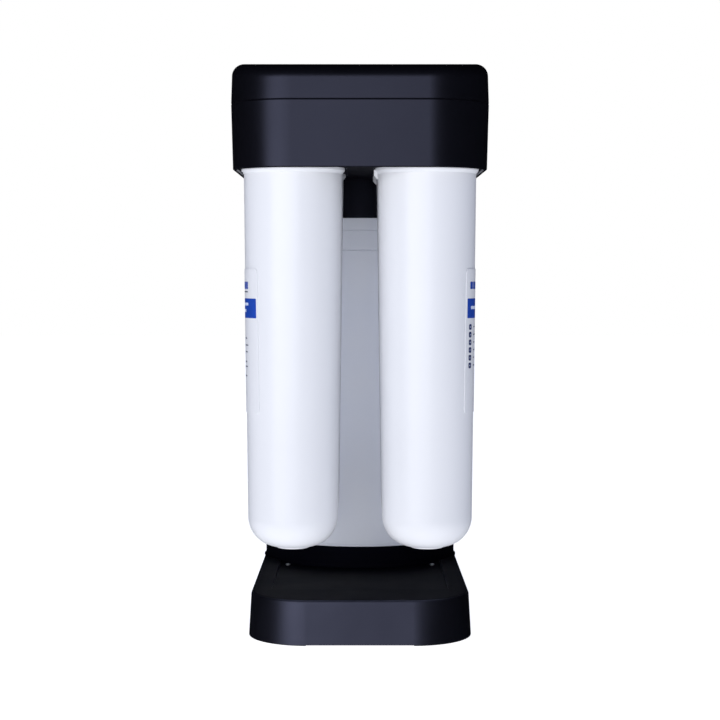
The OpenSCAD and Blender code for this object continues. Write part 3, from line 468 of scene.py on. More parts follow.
# pleated polyester fleece: off-white, matt and fibrous
pleatedFleece = makeFinish("pleatedPolyesterFleece", {
    "colours": ("EDE9DC", "E2DDCD"), "blotchMm": 6, "roughness": (0.8, 0.9),
    "grainMm": 0.35, "grainDepthMm": 0.12, "sockets": {"IOR": 1.45, "Sheen Weight": 0.3}})

# sintered carbon block: charcoal with open grains
sinteredCarbon = makeFinish("sinteredCarbonBlock", {
    "colours": ("1C1C1E", "262628"), "blotchMm": 3, "roughness": (0.75, 0.9),
    "grainKind": "ShaderNodeTexVoronoi", "grainMm": 0.8, "grainDepthMm": 0.2, "sockets": {"IOR": 1.6}})

# wound membrane film: pale blue grey with a tape's overlap lines
woundFilm = makeFinish("woundMembraneFilm", {
    "colours": ("CBD6DC", "BECBD2"), "blotchMm": 18, "roughness": (0.3, 0.4),
    "grainKind": "ShaderNodeTexWave", "grainMm": 12, "grainDepthMm": 0.1,
    "grainSettings": {"bands_direction": "Z", "Distortion": 1.5}, "sockets": {"IOR": 1.5}})

finishes = {
    "head_abs": headAbs, "black_abs": trayAbs, "tank_plastic": tankPolypropylenePaintedLight,
    "cartridge_plastic": cartridgePolypropylene, "label_film": labelFilm, "white_plastic": whiteAcetal,
    "natural_plastic": naturalPolypropylene, "tube_plastic": tubePolyethylene,
    "collet_plastic": colletAcetal, "foot_rubber": footRubber, "seal_rubber": sealRubber,
    "bladder_rubber": bladderRubber, "zinc_screw": zincPlate, "spring_steel": springWire,
    "valve_brass": turnedBrass, "pleat_media": pleatedFleece, "carbon_media": sinteredCarbon,
    "membrane_film": woundFilm}


def clothe():
    # every CAD node takes the finish of its own material slot
    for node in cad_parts.values():
        for place in node.material_slots:
            name = place.material.name.split(".")[0] if place.material else ""
            place.material = finishes.get(name, whiteAcetal)


clothe()
print("materials made")


# base tray, ring, feet and screws

tankLow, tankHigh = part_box("tank_lower_shell")
tankCentre = (tankLow + tankHigh) / 2
tankRadius = (tankHigh.x - tankLow.x) / 2
casingLow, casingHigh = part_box("head_casing")
trayLow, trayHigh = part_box("base_tray")
ringLow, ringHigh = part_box("tank_collar")
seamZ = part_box("top_lid")[0].z + mm(4)
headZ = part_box("cartridge_1_cap")[0].z + mm(11.5)
atTank = Matrix.Translation((tankCentre.x, tankCentre.y, 0))

tray = {"frontRadius": mm(45), "rearRadius": mm(74), "draft": mm(1.7), "rimEdge": mm(2.2),
        "footEdge": mm(0.6), "bottom": mm(0.1), "wall": mm(3), "rimFront": mm(33.2), "rimRear": mm(29.5),
        "sunkHalfWidth": mm(66.8), "flushBehindFront": mm(47), "sunkFloor": mm(28.5), "sunkBend": mm(30),
        "ringGap": mm(2.4), "relief": mm(39.5, 34, 0.55), "ribs": mm(-30, 0, 30), "ribWidth": mm(2.2),
        "postWall": mm(2), "cutPast": mm(2), "cutHigh": mm(60)}
ring = {"wall": mm(4), "footArc": mm(1.5), "footRise": mm(0.12), "topEdge": mm(0.6)}
feet = islands("base_feet")


def rimHeight(y):
    # the rim falls evenly from the front corners to the tank's axis
    startY = trayLow.y + tray["frontRadius"]
    share = min(max((y - startY) / (tankCentre.y - startY), 0), 1)
    return tray["rimFront"] + (tray["rimRear"] - tray["rimFront"]) * share


def trayRing(inset, height):
    return planRing(trayHigh.x - inset, trayLow.y + inset, trayHigh.y - inset,
                    tray["frontRadius"] - inset, tray["rearRadius"] - inset, height, 28)


def makeTray():
    edge, draft, bottom, foot = tray["rimEdge"], tray["draft"], tray["bottom"], tray["footEdge"]
    below, above = -tray["cutPast"], tray["cutHigh"]
    rings = [trayRing(foot * (1 - math.sin(a)), bottom + foot * (1 - math.cos(a)))
             for a in quarterTurn(4)]
    rings += [trayRing(draft + edge * (1 - math.cos(a)),
                       lambda y, a=a: rimHeight(y) - edge * (1 - math.sin(a))) for a in quarterTurn(8)]
    body = loftPiece("baseTrayShell", rings)
    hollow = loftPiece("hollow", [trayRing(tray["wall"] + mm(0.4), below / 2),
                                  trayRing(tray["wall"] + draft, tray["sunkFloor"] - tray["wall"])])
    halfRib = tray["ribWidth"] / 2
    ribs = [blockAlongY("rib", Vector((x - halfRib, trayLow.y, below)),
                        Vector((x + halfRib, trayHigh.y, above)), mm(0.4)) for x in tray["ribs"]]
    posts = [plug("post", x, y, half + tray["postWall"], below, above, 48) for x, y, half in feet]
    combine(hollow, ribs + posts, "DIFFERENCE")
    deepY = ringLow.y
    flushY = trayLow.y + tray["flushBehindFront"]
    side = tray["sunkHalfWidth"]
    sunkLine = softened([(flushY, tray["rimFront"] - mm(0.15)), (deepY, tray["sunkFloor"], tray["sunkBend"]),
                         (tankCentre.y, tray["sunkFloor"]), (tankCentre.y, above), (flushY, above)], 8)
    wedge = prismPiece("wedge", [[(x, point.x, point.y) for point in sunkLine] for x in (-side, side)])
    pocketRadius = (ringHigh.x - ringLow.x) / 2 - ring["footArc"] + tray["ringGap"]
    pocket = plug("pocket", tankCentre.x, tankCentre.y, pocketRadius, tray["sunkFloor"], above, 160)
    halfRelief, reliefDepth, reliefHeight = tray["relief"]
    relief = blockAlongY("relief", Vector((-halfRelief, trayLow.y + below, below)),
                         Vector((halfRelief, trayLow.y + reliefDepth, bottom + reliefHeight)), mm(0.3))
    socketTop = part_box("base_feet")[1].z + mm(0.05)
    sockets = [plug("socket", x, y, half + mm(0.1), below, socketTop, 48) for x, y, half in feet]
    combine(body, [hollow, wedge, pocket, relief] + sockets, "DIFFERENCE")
    finishPiece(body, trayAbs, "frame_and_tank", ["base_tray"], 28)
    # painted shade: the tray's level faces take the darker, duller ABS
    paintShadeOnFaces(body, texturedAbsPaintedShade, lambda centre, normal: abs(normal.z) > 0.93)


makeTray()
print("tray made")

pad = {"rings": mm(3, 5.4), "grooveDepth": mm(0.25), "grooveSlope": mm(0.2), "grooveWidth": mm(0.9),
       "taper": mm(0.6), "edge": mm(0.5)}


def makeFeet():
    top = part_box("base_feet")[1].z
    slope, width, deep = pad["grooveSlope"], pad["grooveWidth"], pad["grooveDepth"]
    mesh = bmesh.new()
    for x, y, radius in feet:
        line = [(0, 0)]
        for groove in pad["rings"]:
            line += [(groove, 0), (groove + slope, deep), (groove + width - slope, deep), (groove + width, 0)]
        line += [(radius - pad["taper"], 0, pad["edge"]), (radius, top), (0, top)]
        addLathe(mesh, softened(line, 4), Matrix.Translation((x, y, 0)), 64)
    finishPiece(makePiece("rubberFeet", mesh), footRubber, "frame_and_tank", ["base_feet"])


makeFeet()


def makeRing():
    low, high = ringLow.z, ringHigh.z
    arc, rise = ring["footArc"], ring["footRise"]
    outer = (ringHigh.x - ringLow.x) / 2 - arc
    line = [(outer - ring["wall"], low), (outer + arc, low), (outer + arc - mm(0.1), low + rise),
            (outer, low + rise, arc - mm(0.15)), (outer, high, ring["topEdge"]), (outer - ring["wall"], high)]
    # painted shade: the whole tank ring takes the darker, duller ABS
    finishPiece(lathePiece("tankRing", softened(line, 8, True), atTank, 192), texturedAbsPaintedShade,
                "frame_and_tank", ["tank_collar"], 50)


makeRing()

trayScrew = {"shank": mm(1.9), "domeRise": mm(0.95), "rimHeight": mm(0.35), "recess": mm(1.3, 0.45, 0.7)}


def makeTrayScrews():
    low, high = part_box("collar_screws")
    mesh = bmesh.new()
    crossMesh = bmesh.new()
    arm, width, depth = trayScrew["recess"]
    under = high.z - trayScrew["domeRise"]
    for x, y, half in islands("collar_screws"):
        place = Matrix.Translation((x, y, 0))
        shank, rim = trayScrew["shank"], trayScrew["rimHeight"]
        line = softened([(0, low.z), (shank, low.z), (shank, under), (half, under, mm(0.1)),
                         (half, under + rim, rim), (mm(0.9), high.z, mm(3)), (0, high.z)], 6)
        addLathe(mesh, line, place, 48)
        for turned in (0, math.pi / 2):
            turn = Matrix.Translation((x, y, high.z)) @ Matrix.Rotation(turned, 4, "Z")
            stretch = Matrix.Diagonal((arm, width / 2, depth, 1))
            made = bmesh.ops.create_cube(crossMesh, size=2)["verts"]
            bmesh.ops.transform(crossMesh, matrix=turn @ stretch, verts=made)
    screws = makePiece("trayScrews", mesh)
    cross = makePiece("cross", crossMesh)
    combine(screws, [cross], "DIFFERENCE")
    finishPiece(screws, zincPlate, "frame_and_tank", ["collar_screws"])


makeTrayScrews()
print("ring, feet and tray screws made")


# tank

tank = {"rimHeight": mm(1.3), "rimGroove": mm(0.45), "rimInset": mm(0.25), "step": mm(0.55), "wall": mm(2.5),
        "bottomEdge": mm(1.0), "bottomWall": mm(3.6), "bottomBend": mm(14, 12, 11), "valveHole": mm(4),
        "seamEdge": mm(0.25), "domeRise": mm(28), "neckRadius": mm(15), "neckHole": mm(9)}


def makeTank():
    bandLow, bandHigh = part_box("tank_band")[0].z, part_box("tank_band")[1].z
    radius, wall, step, seamEdge = tankRadius, tank["wall"], tank["step"], tank["seamEdge"]
    low, hole = tankLow.z, tank["valveHole"]
    foot, rimZ, floorZ = radius - tank["rimInset"], low + tank["rimHeight"], low + tank["bottomWall"]
    bendHeight, bendInset, bend = tank["bottomBend"]
    weldZ = bandLow - mm(0.01)
    # a fine groove just above the foot, then one plain wall up to the band's weld
    line = [(hole, low), (foot, low, tank["bottomEdge"]), (foot, rimZ, mm(0.3)),
            (foot - tank["rimGroove"], rimZ + mm(0.25)), (radius, rimZ + mm(0.75), mm(0.4)),
            (radius, bandLow - step, seamEdge), (radius - step, weldZ), (radius - wall, weldZ),
            (radius - wall, low + bendHeight, bend), (radius - bendInset, floorZ), (hole, floorZ)]
    # painted light: the tank's shells take the brightened white
    finishPiece(lathePiece("tankLowerShell", softened(line, 6, True), atTank, 192), tankPolypropylenePaintedLight,
                "frame_and_tank", ["tank_lower_shell"], 40)
    band = softened([(radius - 2 * wall, bandLow), (radius - step, bandLow),
                     (radius, bandLow + step, seamEdge), (radius, bandHigh - step, seamEdge),
                     (radius - step, bandHigh), (radius - 2 * wall, bandHigh)], 4, True)
    finishPiece(lathePiece("tankWeldBand", band, atTank, 192), tankPolypropylenePaintedLight,
                "frame_and_tank", ["tank_band"], 50)
    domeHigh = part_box("tank_dome")[1].z
    springZ = headZ - tank["domeRise"]
    neck = tank["neckRadius"]
    hole = tank["neckHole"]

    def domeArc(inset, angles):
        reach, rise = radius - inset - neck, domeHigh - inset - springZ
        return [(neck + reach * math.cos(a), springZ + rise * math.sin(a)) for a in angles]

    dome = [(radius - step, bandHigh), (radius, bandHigh + step)] + domeArc(0, quarterTurn(20))
    dome += [(hole, domeHigh), (hole, domeHigh - wall)] + domeArc(wall, reversed(quarterTurn(20)))
    dome.append((radius - wall, bandHigh))
    finishPiece(lathePiece("tankDome", dome, atTank, 192), tankPolypropylenePaintedLight,
                "frame_and_tank", ["tank_dome"], 30)


makeTank()
print("tank made")


# head casing and shroud

head = {"cornerRadius": mm(46), "casingDraft": mm(1.4), "lidDraft": mm(0.6), "wall": mm(2.8), "seam": mm(0.6),
        "floor": mm(3), "lidEdge": mm(9), "crown": mm(6), "crownRun": mm(46), "rimWidth": mm(2.6),
        "rimEdge": mm(1.0), "underRecess": mm(1.2), "opening": mm(39.5), "openingFlare": mm(0.7),
        "neckHole": mm(17), "skirt": mm(4), "skirtGap": mm(0.35), "screwPost": mm(5), "screwPilot": mm(1.92),
        "portHole": mm(8.52), "underLid": ((14, 2.6), (3, 3), (0.6, 5.2)), "crownSteps": (3, 8, 16, 26, 34)}
shroud = {"gap": mm(0.5), "edge": mm(0.9)}
bay = {"deep": mm(25), "halfWidth": mm(62), "height": mm(32), "radius": mm(3.5), "flare": mm(0.8)}
cartridgeBoxes = {n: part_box(f"cartridge_{n}_shell") for n in range(1, 5)}
portBoxes = {name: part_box(f"{name}_port") for name in ("drain", "feed", "clean")}


def headRing(inset, height, steps=28):
    return planRing(casingHigh.x - inset, casingLow.y + inset, casingHigh.y - inset,
                    head["cornerRadius"] - inset, head["cornerRadius"] - inset, height, steps)


def casingLean(z):
    return head["casingDraft"] * (seamZ - head["seam"] - z) / (seamZ - head["seam"] - headZ)


def openingDrum(x, y, low, high):
    # the cutter of one cartridge opening, wider at its mouth
    radius, flare = head["opening"], head["openingFlare"]
    line = [(0, low), (radius + flare, low), (radius + flare, headZ),
            (radius, headZ + flare + head["underRecess"]), (radius, high), (0, high)]
    return lathePiece("opening", line, Matrix.Translation((x, y, 0)))


def makeCasing():
    wall, seam, edge = head["wall"], head["seam"], head["rimEdge"]
    floorZ = headZ + head["floor"]
    lipZ = headZ + edge
    cutLow, cutHigh = headZ - mm(2), floorZ + mm(2)
    rimIn = casingLean(headZ) + head["rimWidth"]
    floorIn = casingLean(floorZ) + wall
    rings = [headRing(floorIn + mm(1), floorZ), headRing(floorIn, floorZ + mm(1)), headRing(wall, seamZ),
             headRing(seam, seamZ), headRing(0, seamZ - seam)]
    rings += [headRing(casingLean(lipZ) + edge * (1 - math.cos(a)), lipZ - edge * math.sin(a))
              for a in quarterTurn(5)]
    rings += [headRing(rimIn, headZ), headRing(rimIn + mm(0.5), headZ + head["underRecess"])]
    casing = loftPiece("headCasingShell", rings)
    portZ = (portBoxes["feed"][0].z + portBoxes["feed"][1].z) / 2
    bayLow = Vector((-bay["halfWidth"], casingHigh.y - bay["deep"], portZ - bay["height"] / 2))
    bayHigh = Vector((bay["halfWidth"], casingHigh.y + mm(1), portZ + bay["height"] / 2))
    grow = Vector((wall, wall, wall))
    block = blockAlongY("bayBlock", bayLow - grow, bayHigh + grow, bay["radius"] + wall)
    limit = loftPiece("limit", [headRing(mm(0.7) + casingLean(headZ), headZ + mm(1.3)),
                                headRing(mm(0.7), seamZ - mm(1))])
    combine(block, [limit], "INTERSECT")
    screws = islands("head_screws")
    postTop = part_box("manifold")[1].z - mm(12)
    posts = [plug("post", x, y, head["screwPost"], floorZ - mm(1), postTop, 48) for x, y, half in screws]
    combine(casing, [block] + posts, "UNION")
    cutters = [blockAlongY("bayRoom", bayLow, bayHigh, bay["radius"], bay["flare"])]
    for low, high in cartridgeBoxes.values():
        cutters.append(openingDrum((low.x + high.x) / 2, (low.y + high.y) / 2, cutLow, cutHigh))
    cutters.append(plug("neckHole", tankCentre.x, tankCentre.y, head["neckHole"], cutLow, cutHigh))
    cutters += [plug("pilot", x, y, head["screwPilot"], headZ + mm(14), seamZ, 32) for x, y, half in screws]
    radius, holeFrom, holeTo = head["portHole"], bayLow.y - wall - mm(1), bayLow.y + mm(1)
    holeLine = [(0, holeFrom), (radius, holeFrom), (radius, holeTo), (0, holeTo)]
    cutters += [lathePiece("portHole", holeLine, aimY((low.x + high.x) / 2, portZ), 64)
                for low, high in portBoxes.values()]
    combine(casing, cutters, "DIFFERENCE")
    finishPiece(casing, headAbs, "frame_and_tank", ["head_casing"], 30)
    # painted shade: the casing's downward faces take the darker, duller ABS
    paintShadeOnFaces(casing, texturedAbsPaintedShade, lambda centre, normal: normal.z < -0.9)


makeCasing()


def makeShroud():
    low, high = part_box("tank_shroud")
    inner, outer = tankRadius + shroud["gap"], (high.x - low.x) / 2
    line = softened([(inner, low.z, shroud["edge"]), (outer, low.z, shroud["edge"]),
                     (outer, high.z + head["underRecess"]), (inner, high.z + head["underRecess"])], 6, True)
    # painted shade: the shroud takes the darker ABS
    finishPiece(lathePiece("tankShroudRing", line, atTank, 192), shroudAbsPaintedShade,
                "frame_and_tank", ["tank_shroud"], 50)


makeShroud()
print("casing and shroud made")


def lidRise(y):
    # the lid's top climbs from its front and rear edges to a level crown
    inward = min(y - casingLow.y, casingHigh.y - y)
    share = min(max(inward / head["crownRun"], 0), 1)
    return head["crown"] * share


def makeLid():
    wall, seam, edge = head["wall"], head["seam"], head["lidEdge"]
    topZ = cadBox[1].z - head["crown"]
    skirtIn = wall + head["skirtGap"]
    skirtZ = seamZ - head["skirt"]
    inside = skirtIn + mm(2)

    def arched(base):
        return lambda y: base + lidRise(y)

    # from the middle of the hollow underside, round the skirt, to the seam
    rings = [headRing(inside + mm(inset), arched(topZ - mm(drop))) for inset, drop in head["underLid"]]
    rings += [headRing(inside, seamZ), headRing(inside, skirtZ), headRing(skirtIn + mm(0.4), skirtZ),
              headRing(skirtIn, skirtZ + mm(0.5)), headRing(skirtIn, seamZ), headRing(seam, seamZ),
              headRing(0, seamZ + seam)]
    rings += [headRing(head["lidDraft"] + edge * (1 - math.cos(a)),
                       arched(topZ - edge * (1 - math.sin(a)))) for a in quarterTurn(14)]
    rings += [headRing(head["lidDraft"] + edge + mm(inset), arched(topZ)) for inset in head["crownSteps"]]
    lid = loftPiece("topLidShell", rings)
    finishPiece(lid, headAbs, "lid", ["top_lid"], 30)


makeLid()
print("lid made")


# cartridges

cartridge = {"lowRadius": mm(33), "fillet": mm(22), "wall": mm(2.4), "boss": mm(12), "bossHeight": mm(1),
             "bossEdge": mm(0.45), "flangeLip": mm(1.8), "flangeGap": mm(0.5), "flangeTop": mm(4.8),
             "tab": mm(2.8, 8, 5.8), "neck": mm(27.3), "neckHeight": mm(25), "neckSeal": mm(3.1, 3.4, 2.6),
             "spigot": mm(8), "spigotSeal": mm(1.7, 1.7, 3), "bore": mm(3), "lugArc": 34, "lugOut": mm(4.1),
             "lugFoot": mm(10.5), "lugHeight": mm(6.5)}
# which way each rim tab and each label faces, in degrees anticlockwise from +X
tabTurns = {1: 100, 2: 180, 3: 100, 4: 180}
labelTurns = {1: 180, 2: 7, 3: 180, 4: 0}


def shellRadius(n, z):
    low, high = cartridgeBoxes[n]
    top = (high.x - low.x) / 2
    domeZ = low.z + cartridge["bossHeight"] + cartridge["fillet"]
    return cartridge["lowRadius"] + (top - cartridge["lowRadius"]) * (z - domeZ) / (high.z - domeZ)


def atCartridge(n):
    low, high = cartridgeBoxes[n]
    return Matrix.Translation(((low.x + high.x) / 2, (low.y + high.y) / 2, 0))


def makeShell(n):
    low, high = cartridgeBoxes[n]
    radius, wall, fillet, boss = (cartridge[key] for key in ("lowRadius", "wall", "fillet", "boss"))
    baseZ = low.z + cartridge["bossHeight"]
    domeZ = baseZ + fillet
    top = (high.x - low.x) / 2

    def domeArc(inset, angles):
        reach = fillet - inset
        return [(radius - fillet + reach * math.sin(a), domeZ - reach * math.cos(a)) for a in angles]

    profile = softened([(0, low.z), (boss, low.z, cartridge["bossEdge"]), (boss, baseZ + mm(0.02))], 5)
    profile += [point for point in domeArc(0, quarterTurn(24)) if point[0] > boss + mm(0.3)]
    profile += [(radius, domeZ + mm(0.1)), (top, high.z), (top - wall, high.z)]
    profile += domeArc(wall, reversed(quarterTurn(16))) + [(0, baseZ + wall)]
    shell = lathePiece(f"cartridge{n}Shell", profile, atCartridge(n), 144)
    finishPiece(shell, cartridgePolypropylene, f"cartridge_{n}",
                [f"cartridge_{n}_shell"], 30)


def makeLugs(n):
    # two bayonet lugs, opposite each other on the neck
    steps = 10
    half = math.radians(cartridge["lugArc"] / 2)
    inner, outer = cartridge["neck"] - mm(2), cartridge["neck"] + cartridge["lugOut"]
    low = headZ + cartridge["lugFoot"]
    high = low + cartridge["lugHeight"]
    lugs = []
    corners = ((inner, low), (outer, low), (outer, high), (inner, high))
    angles = [-half + 2 * half * k / steps for k in range(steps + 1)]
    for turned in (0, math.pi):
        place = atCartridge(n) @ Matrix.Rotation(turned, 4, "Z")
        lugs.append(prismPiece("lug", [[place @ Vector((r * math.cos(a), r * math.sin(a), z))
                                        for r, z in corners] for a in angles]))
    return lugs


def makeTab(n, top, weldZ, lipZ):
    # the rim tab: a small wedge with a slanted foot
    reach, width, height = cartridge["tab"]
    inner, skin = top - mm(0.6), top - mm(0.05)
    outline = [(inner, lipZ + mm(0.6)), (top + reach, lipZ + mm(0.6)), (top + reach, lipZ - mm(3.1)),
               (top + mm(0.55), lipZ - height), (skin, lipZ - height), (skin, weldZ + mm(0.3)),
               (inner, weldZ + mm(0.3))]
    place = atCartridge(n) @ Matrix.Rotation(math.radians(tabTurns[n]), 4, "Z")
    return prismPiece("tab", [[place @ Vector((r, y, z)) for r, z in outline]
                              for y in (-width / 2, width / 2)])


def makeCap(n):
    low, high = cartridgeBoxes[n]
    capLow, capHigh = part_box(f"cartridge_{n}_cap")
    weldZ = high.z
    top = (high.x - low.x) / 2
    flange = top + cartridge["flangeLip"]
    lipZ = headZ - cartridge["flangeGap"]
    flangeZ = headZ + cartridge["flangeTop"]
    neckZ = headZ + cartridge["neckHeight"]
    neck, spigot, bore = cartridge["neck"], cartridge["spigot"], cartridge["bore"]
    deep, wide, below = cartridge["neckSeal"]
    grooveLow = neckZ - below - wide / 2
    inset, tall, above = cartridge["spigotSeal"]
    spigotLow = neckZ + above
    plugRadius = shellRadius(n, capLow.z) - cartridge["wall"] - mm(0.15)
    line = [(bore, capLow.z), (plugRadius, capLow.z, mm(0.4)), (plugRadius, weldZ + mm(0.02)),
            (top, weldZ + mm(0.02)), (top, weldZ + mm(0.1)), (flange, lipZ, mm(0.8)),
            (flange, flangeZ, mm(0.5)), (neck, flangeZ, mm(0.8)), (neck, grooveLow), (neck - deep, grooveLow),
            (neck - deep, grooveLow + wide), (neck, grooveLow + wide), (neck, neckZ, mm(0.5)),
            (spigot, neckZ, mm(0.4)), (spigot, spigotLow), (spigot - inset, spigotLow),
            (spigot - inset, spigotLow + tall), (spigot, spigotLow + tall), (spigot, capHigh.z, mm(0.5)),
            (bore, capHigh.z)]
    cap = lathePiece(f"cartridge{n}Cap", softened(line, 4, True), atCartridge(n), 144)
    combine(cap, makeLugs(n) + [makeTab(n, top, weldZ, lipZ)], "UNION")
    finishPiece(cap, cartridgePolypropylene, f"cartridge_{n}",
                [f"cartridge_{n}_cap"], 35)


# printed label: places are mm along the wrap from the print's centre, and mm above the label's lower edge
label = {"wrap": 92, "thickness": mm(0.45), "corner": 3, "column": 1.5, "inkLift": mm(0.01),
         "inkThickness": mm(0.03), "lineCorner": 0.3, "barCorner": 0.5}
blueBlock = {"centre": (0, 76.2), "size": (53.2, 14.3), "corner": 0.6}
markBlocks = {"from": -22.9, "middle": 92.9, "height": 5.4, "gap": 0.85, "corner": 0.7,
              "widths": (4.6, 5.2, 4.4, 5.0, 4.6, 5.2, 4.0)}
underline = {"centre": (4, 88.2), "size": (22, 0.9)}
squares = {"centreX": -21.8, "size": (4.3, 4.1), "pitch": 5.6, "lowest": 34.6, "count": 6,
           "corner": 1.1, "dot": 1.0}
captions = {"from": -15.6, "lengths": (11, 8, 13, 9, 12, 7), "height": 0.85}
smallLines = {"to": (12.0, 14.3, 13.2, 11.4, 12.6, 11.0), "lengths": (9, 14, 11, 8, 12, 9),
              "up": (54.2, 49.2, 44.3, 37.2, 33.6, 26.8), "height": 0.9}
# the white bars of each label: from, to, place up and height
whiteLines = {1: ((-16, 15.6, 79.2, 2.1), (-9, 10.8, 74.4, 2.3)), 2: ((-21.4, 20.5, 76.7, 2.3),),
              3: ((-16, 15.6, 79.2, 2.1), (-12, 12.4, 74.4, 2.3)), 4: ((-21.4, 20.5, 76.7, 2.3),)}


def addPatch(mesh, n, centreS, centreUp, width, height, corner, lift, thickness):
    # a thin rounded plate wrapped on the cartridge, built as columns along the wrap
    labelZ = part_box(f"cartridge_{n}_label")[0].z
    corner = min(corner, width / 2, height / 2)
    inner = max(2, math.ceil((width - 2 * corner) / label["column"]))
    across = [corner * (1 - math.cos(math.pi / 2 * k / 4)) for k in range(5)]
    stations = across + [corner + (width - 2 * corner) * k / inner for k in range(1, inner)]
    stations += [width - value for value in reversed(across)]
    facing = math.radians(labelTurns[n])
    rows = []
    for s in stations:
        edge = min(s, width - s, corner)
        cut = corner - math.sqrt(max(corner ** 2 - (corner - edge) ** 2, 0))
        low, high = centreUp - height / 2 + cut, centreUp + height / 2 - cut
        levels = [low + (high - low) * k / 2 for k in range(3)]
        outerRow, innerRow = [], []
        for up in levels:
            z = labelZ + mm(up)
            base = shellRadius(n, z)
            angle = facing + mm(centreS - width / 2 + s) / (base + label["thickness"])
            for row, radius in ((outerRow, base + lift + thickness), (innerRow, base + lift)):
                point = Vector((radius * math.cos(angle), radius * math.sin(angle), z))
                row.append(mesh.verts.new(atCartridge(n) @ point))
        rows.append((outerRow, innerRow))
    for (outA, inA), (outB, inB) in zip(rows, rows[1:]):
        for k in range(2):
            mesh.faces.new((outA[k], outB[k], outB[k + 1], outA[k + 1]))
            mesh.faces.new((inA[k], inA[k + 1], inB[k + 1], inB[k]))
        mesh.faces.new((outA[0], inA[0], inB[0], outB[0]))
        mesh.faces.new((outA[2], outB[2], inB[2], inA[2]))
    for outer, inner in (rows[0], rows[-1]):
        for k in range(2):
            mesh.faces.new((outer[k], outer[k + 1], inner[k + 1], inner[k]))


def inkPiece(n, name, patches, material, layer=0):
    mesh = bmesh.new()
    lift = label["thickness"] + label["inkLift"] + layer * (label["inkThickness"] + label["inkLift"])
    for centreS, centreUp, width, height, corner in patches:
        addPatch(mesh, n, centreS, centreUp, width, height, corner, lift, label["inkThickness"])
    finishPiece(makePiece(f"cartridge{n}{name}", mesh), material, f"cartridge_{n}")


def makeLabel(n):
    low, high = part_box(f"cartridge_{n}_label")
    tall = (high.z - low.z) * 1000
    middle = shellRadius(n, (low.z + high.z) / 2) + label["thickness"]
    wide = math.radians(label["wrap"]) * middle * 1000
    mesh = bmesh.new()
    addPatch(mesh, n, 0, tall / 2, wide, tall, label["corner"], mm(0.01), label["thickness"] - mm(0.01))
    finishPiece(makePiece(f"cartridge{n}Label", mesh), labelFilm, f"cartridge_{n}",
                [f"cartridge_{n}_label"])
    blues = [(*blueBlock["centre"], *blueBlock["size"], blueBlock["corner"])]
    start = markBlocks["from"]
    for width in markBlocks["widths"]:
        blues.append((start + width / 2, markBlocks["middle"], width, markBlocks["height"],
                      markBlocks["corner"]))
        start += width + markBlocks["gap"]
    inkPiece(n, "PrintBlue", blues, blueInk)
    places = [squares["lowest"] + squares["pitch"] * k for k in range(squares["count"])]
    square = (*squares["size"], squares["corner"])
    inkPiece(n, "PrintSquares", [(squares["centreX"], up, *square) for up in places], navyInk)
    thin = label["lineCorner"]
    greys = [(captions["from"] + length / 2, up, length, captions["height"], thin)
             for up, length in zip(places, captions["lengths"])]
    greys += [(end - length / 2, up, length, smallLines["height"], thin)
              for end, up, length in zip(smallLines["to"], smallLines["up"], smallLines["lengths"])]
    greys.append((*underline["centre"], *underline["size"], thin))
    inkPiece(n, "PrintGrey", greys, greyInk)
    whites = [((first + last) / 2, up, last - first, height, label["barCorner"])
              for first, last, up, height in whiteLines[n]]
    whites += [(squares["centreX"], up, squares["dot"], squares["dot"], 0.4) for up in places]
    inkPiece(n, "PrintWhite", whites, whiteInk, 1)


for number in range(1, 5):
    makeShell(number)
    makeCap(number)
    makeLabel(number)
print("cartridges made")


# ports and collets in the rear bay

portLook = {"barrel": mm(8.5), "flange": mm(11), "flangeThick": mm(2), "nipple": mm(3.175), "bore": mm(2.1),
            "nippleLength": mm(8), "seat": mm(3.2), "seatFrom": mm(2.2), "seatDepth": mm(8),
            "sealRoom": mm(5.4), "sealWidth": mm(2.4), "room": mm(5.8), "edge": mm(0.6), "ribCount": 3,
            "ribFrom": mm(6.5), "ribPitch": mm(3.2), "ribDepth": mm(0.5), "ribFloor": mm(0.6)}
colletLook = {"sleeve": mm(5.72), "lip": mm(7.6), "lipThick": mm(2), "bore": mm(3.3), "mouth": mm(4.4),
              "mouthDepth": mm(1.1), "edge": mm(0.55)}


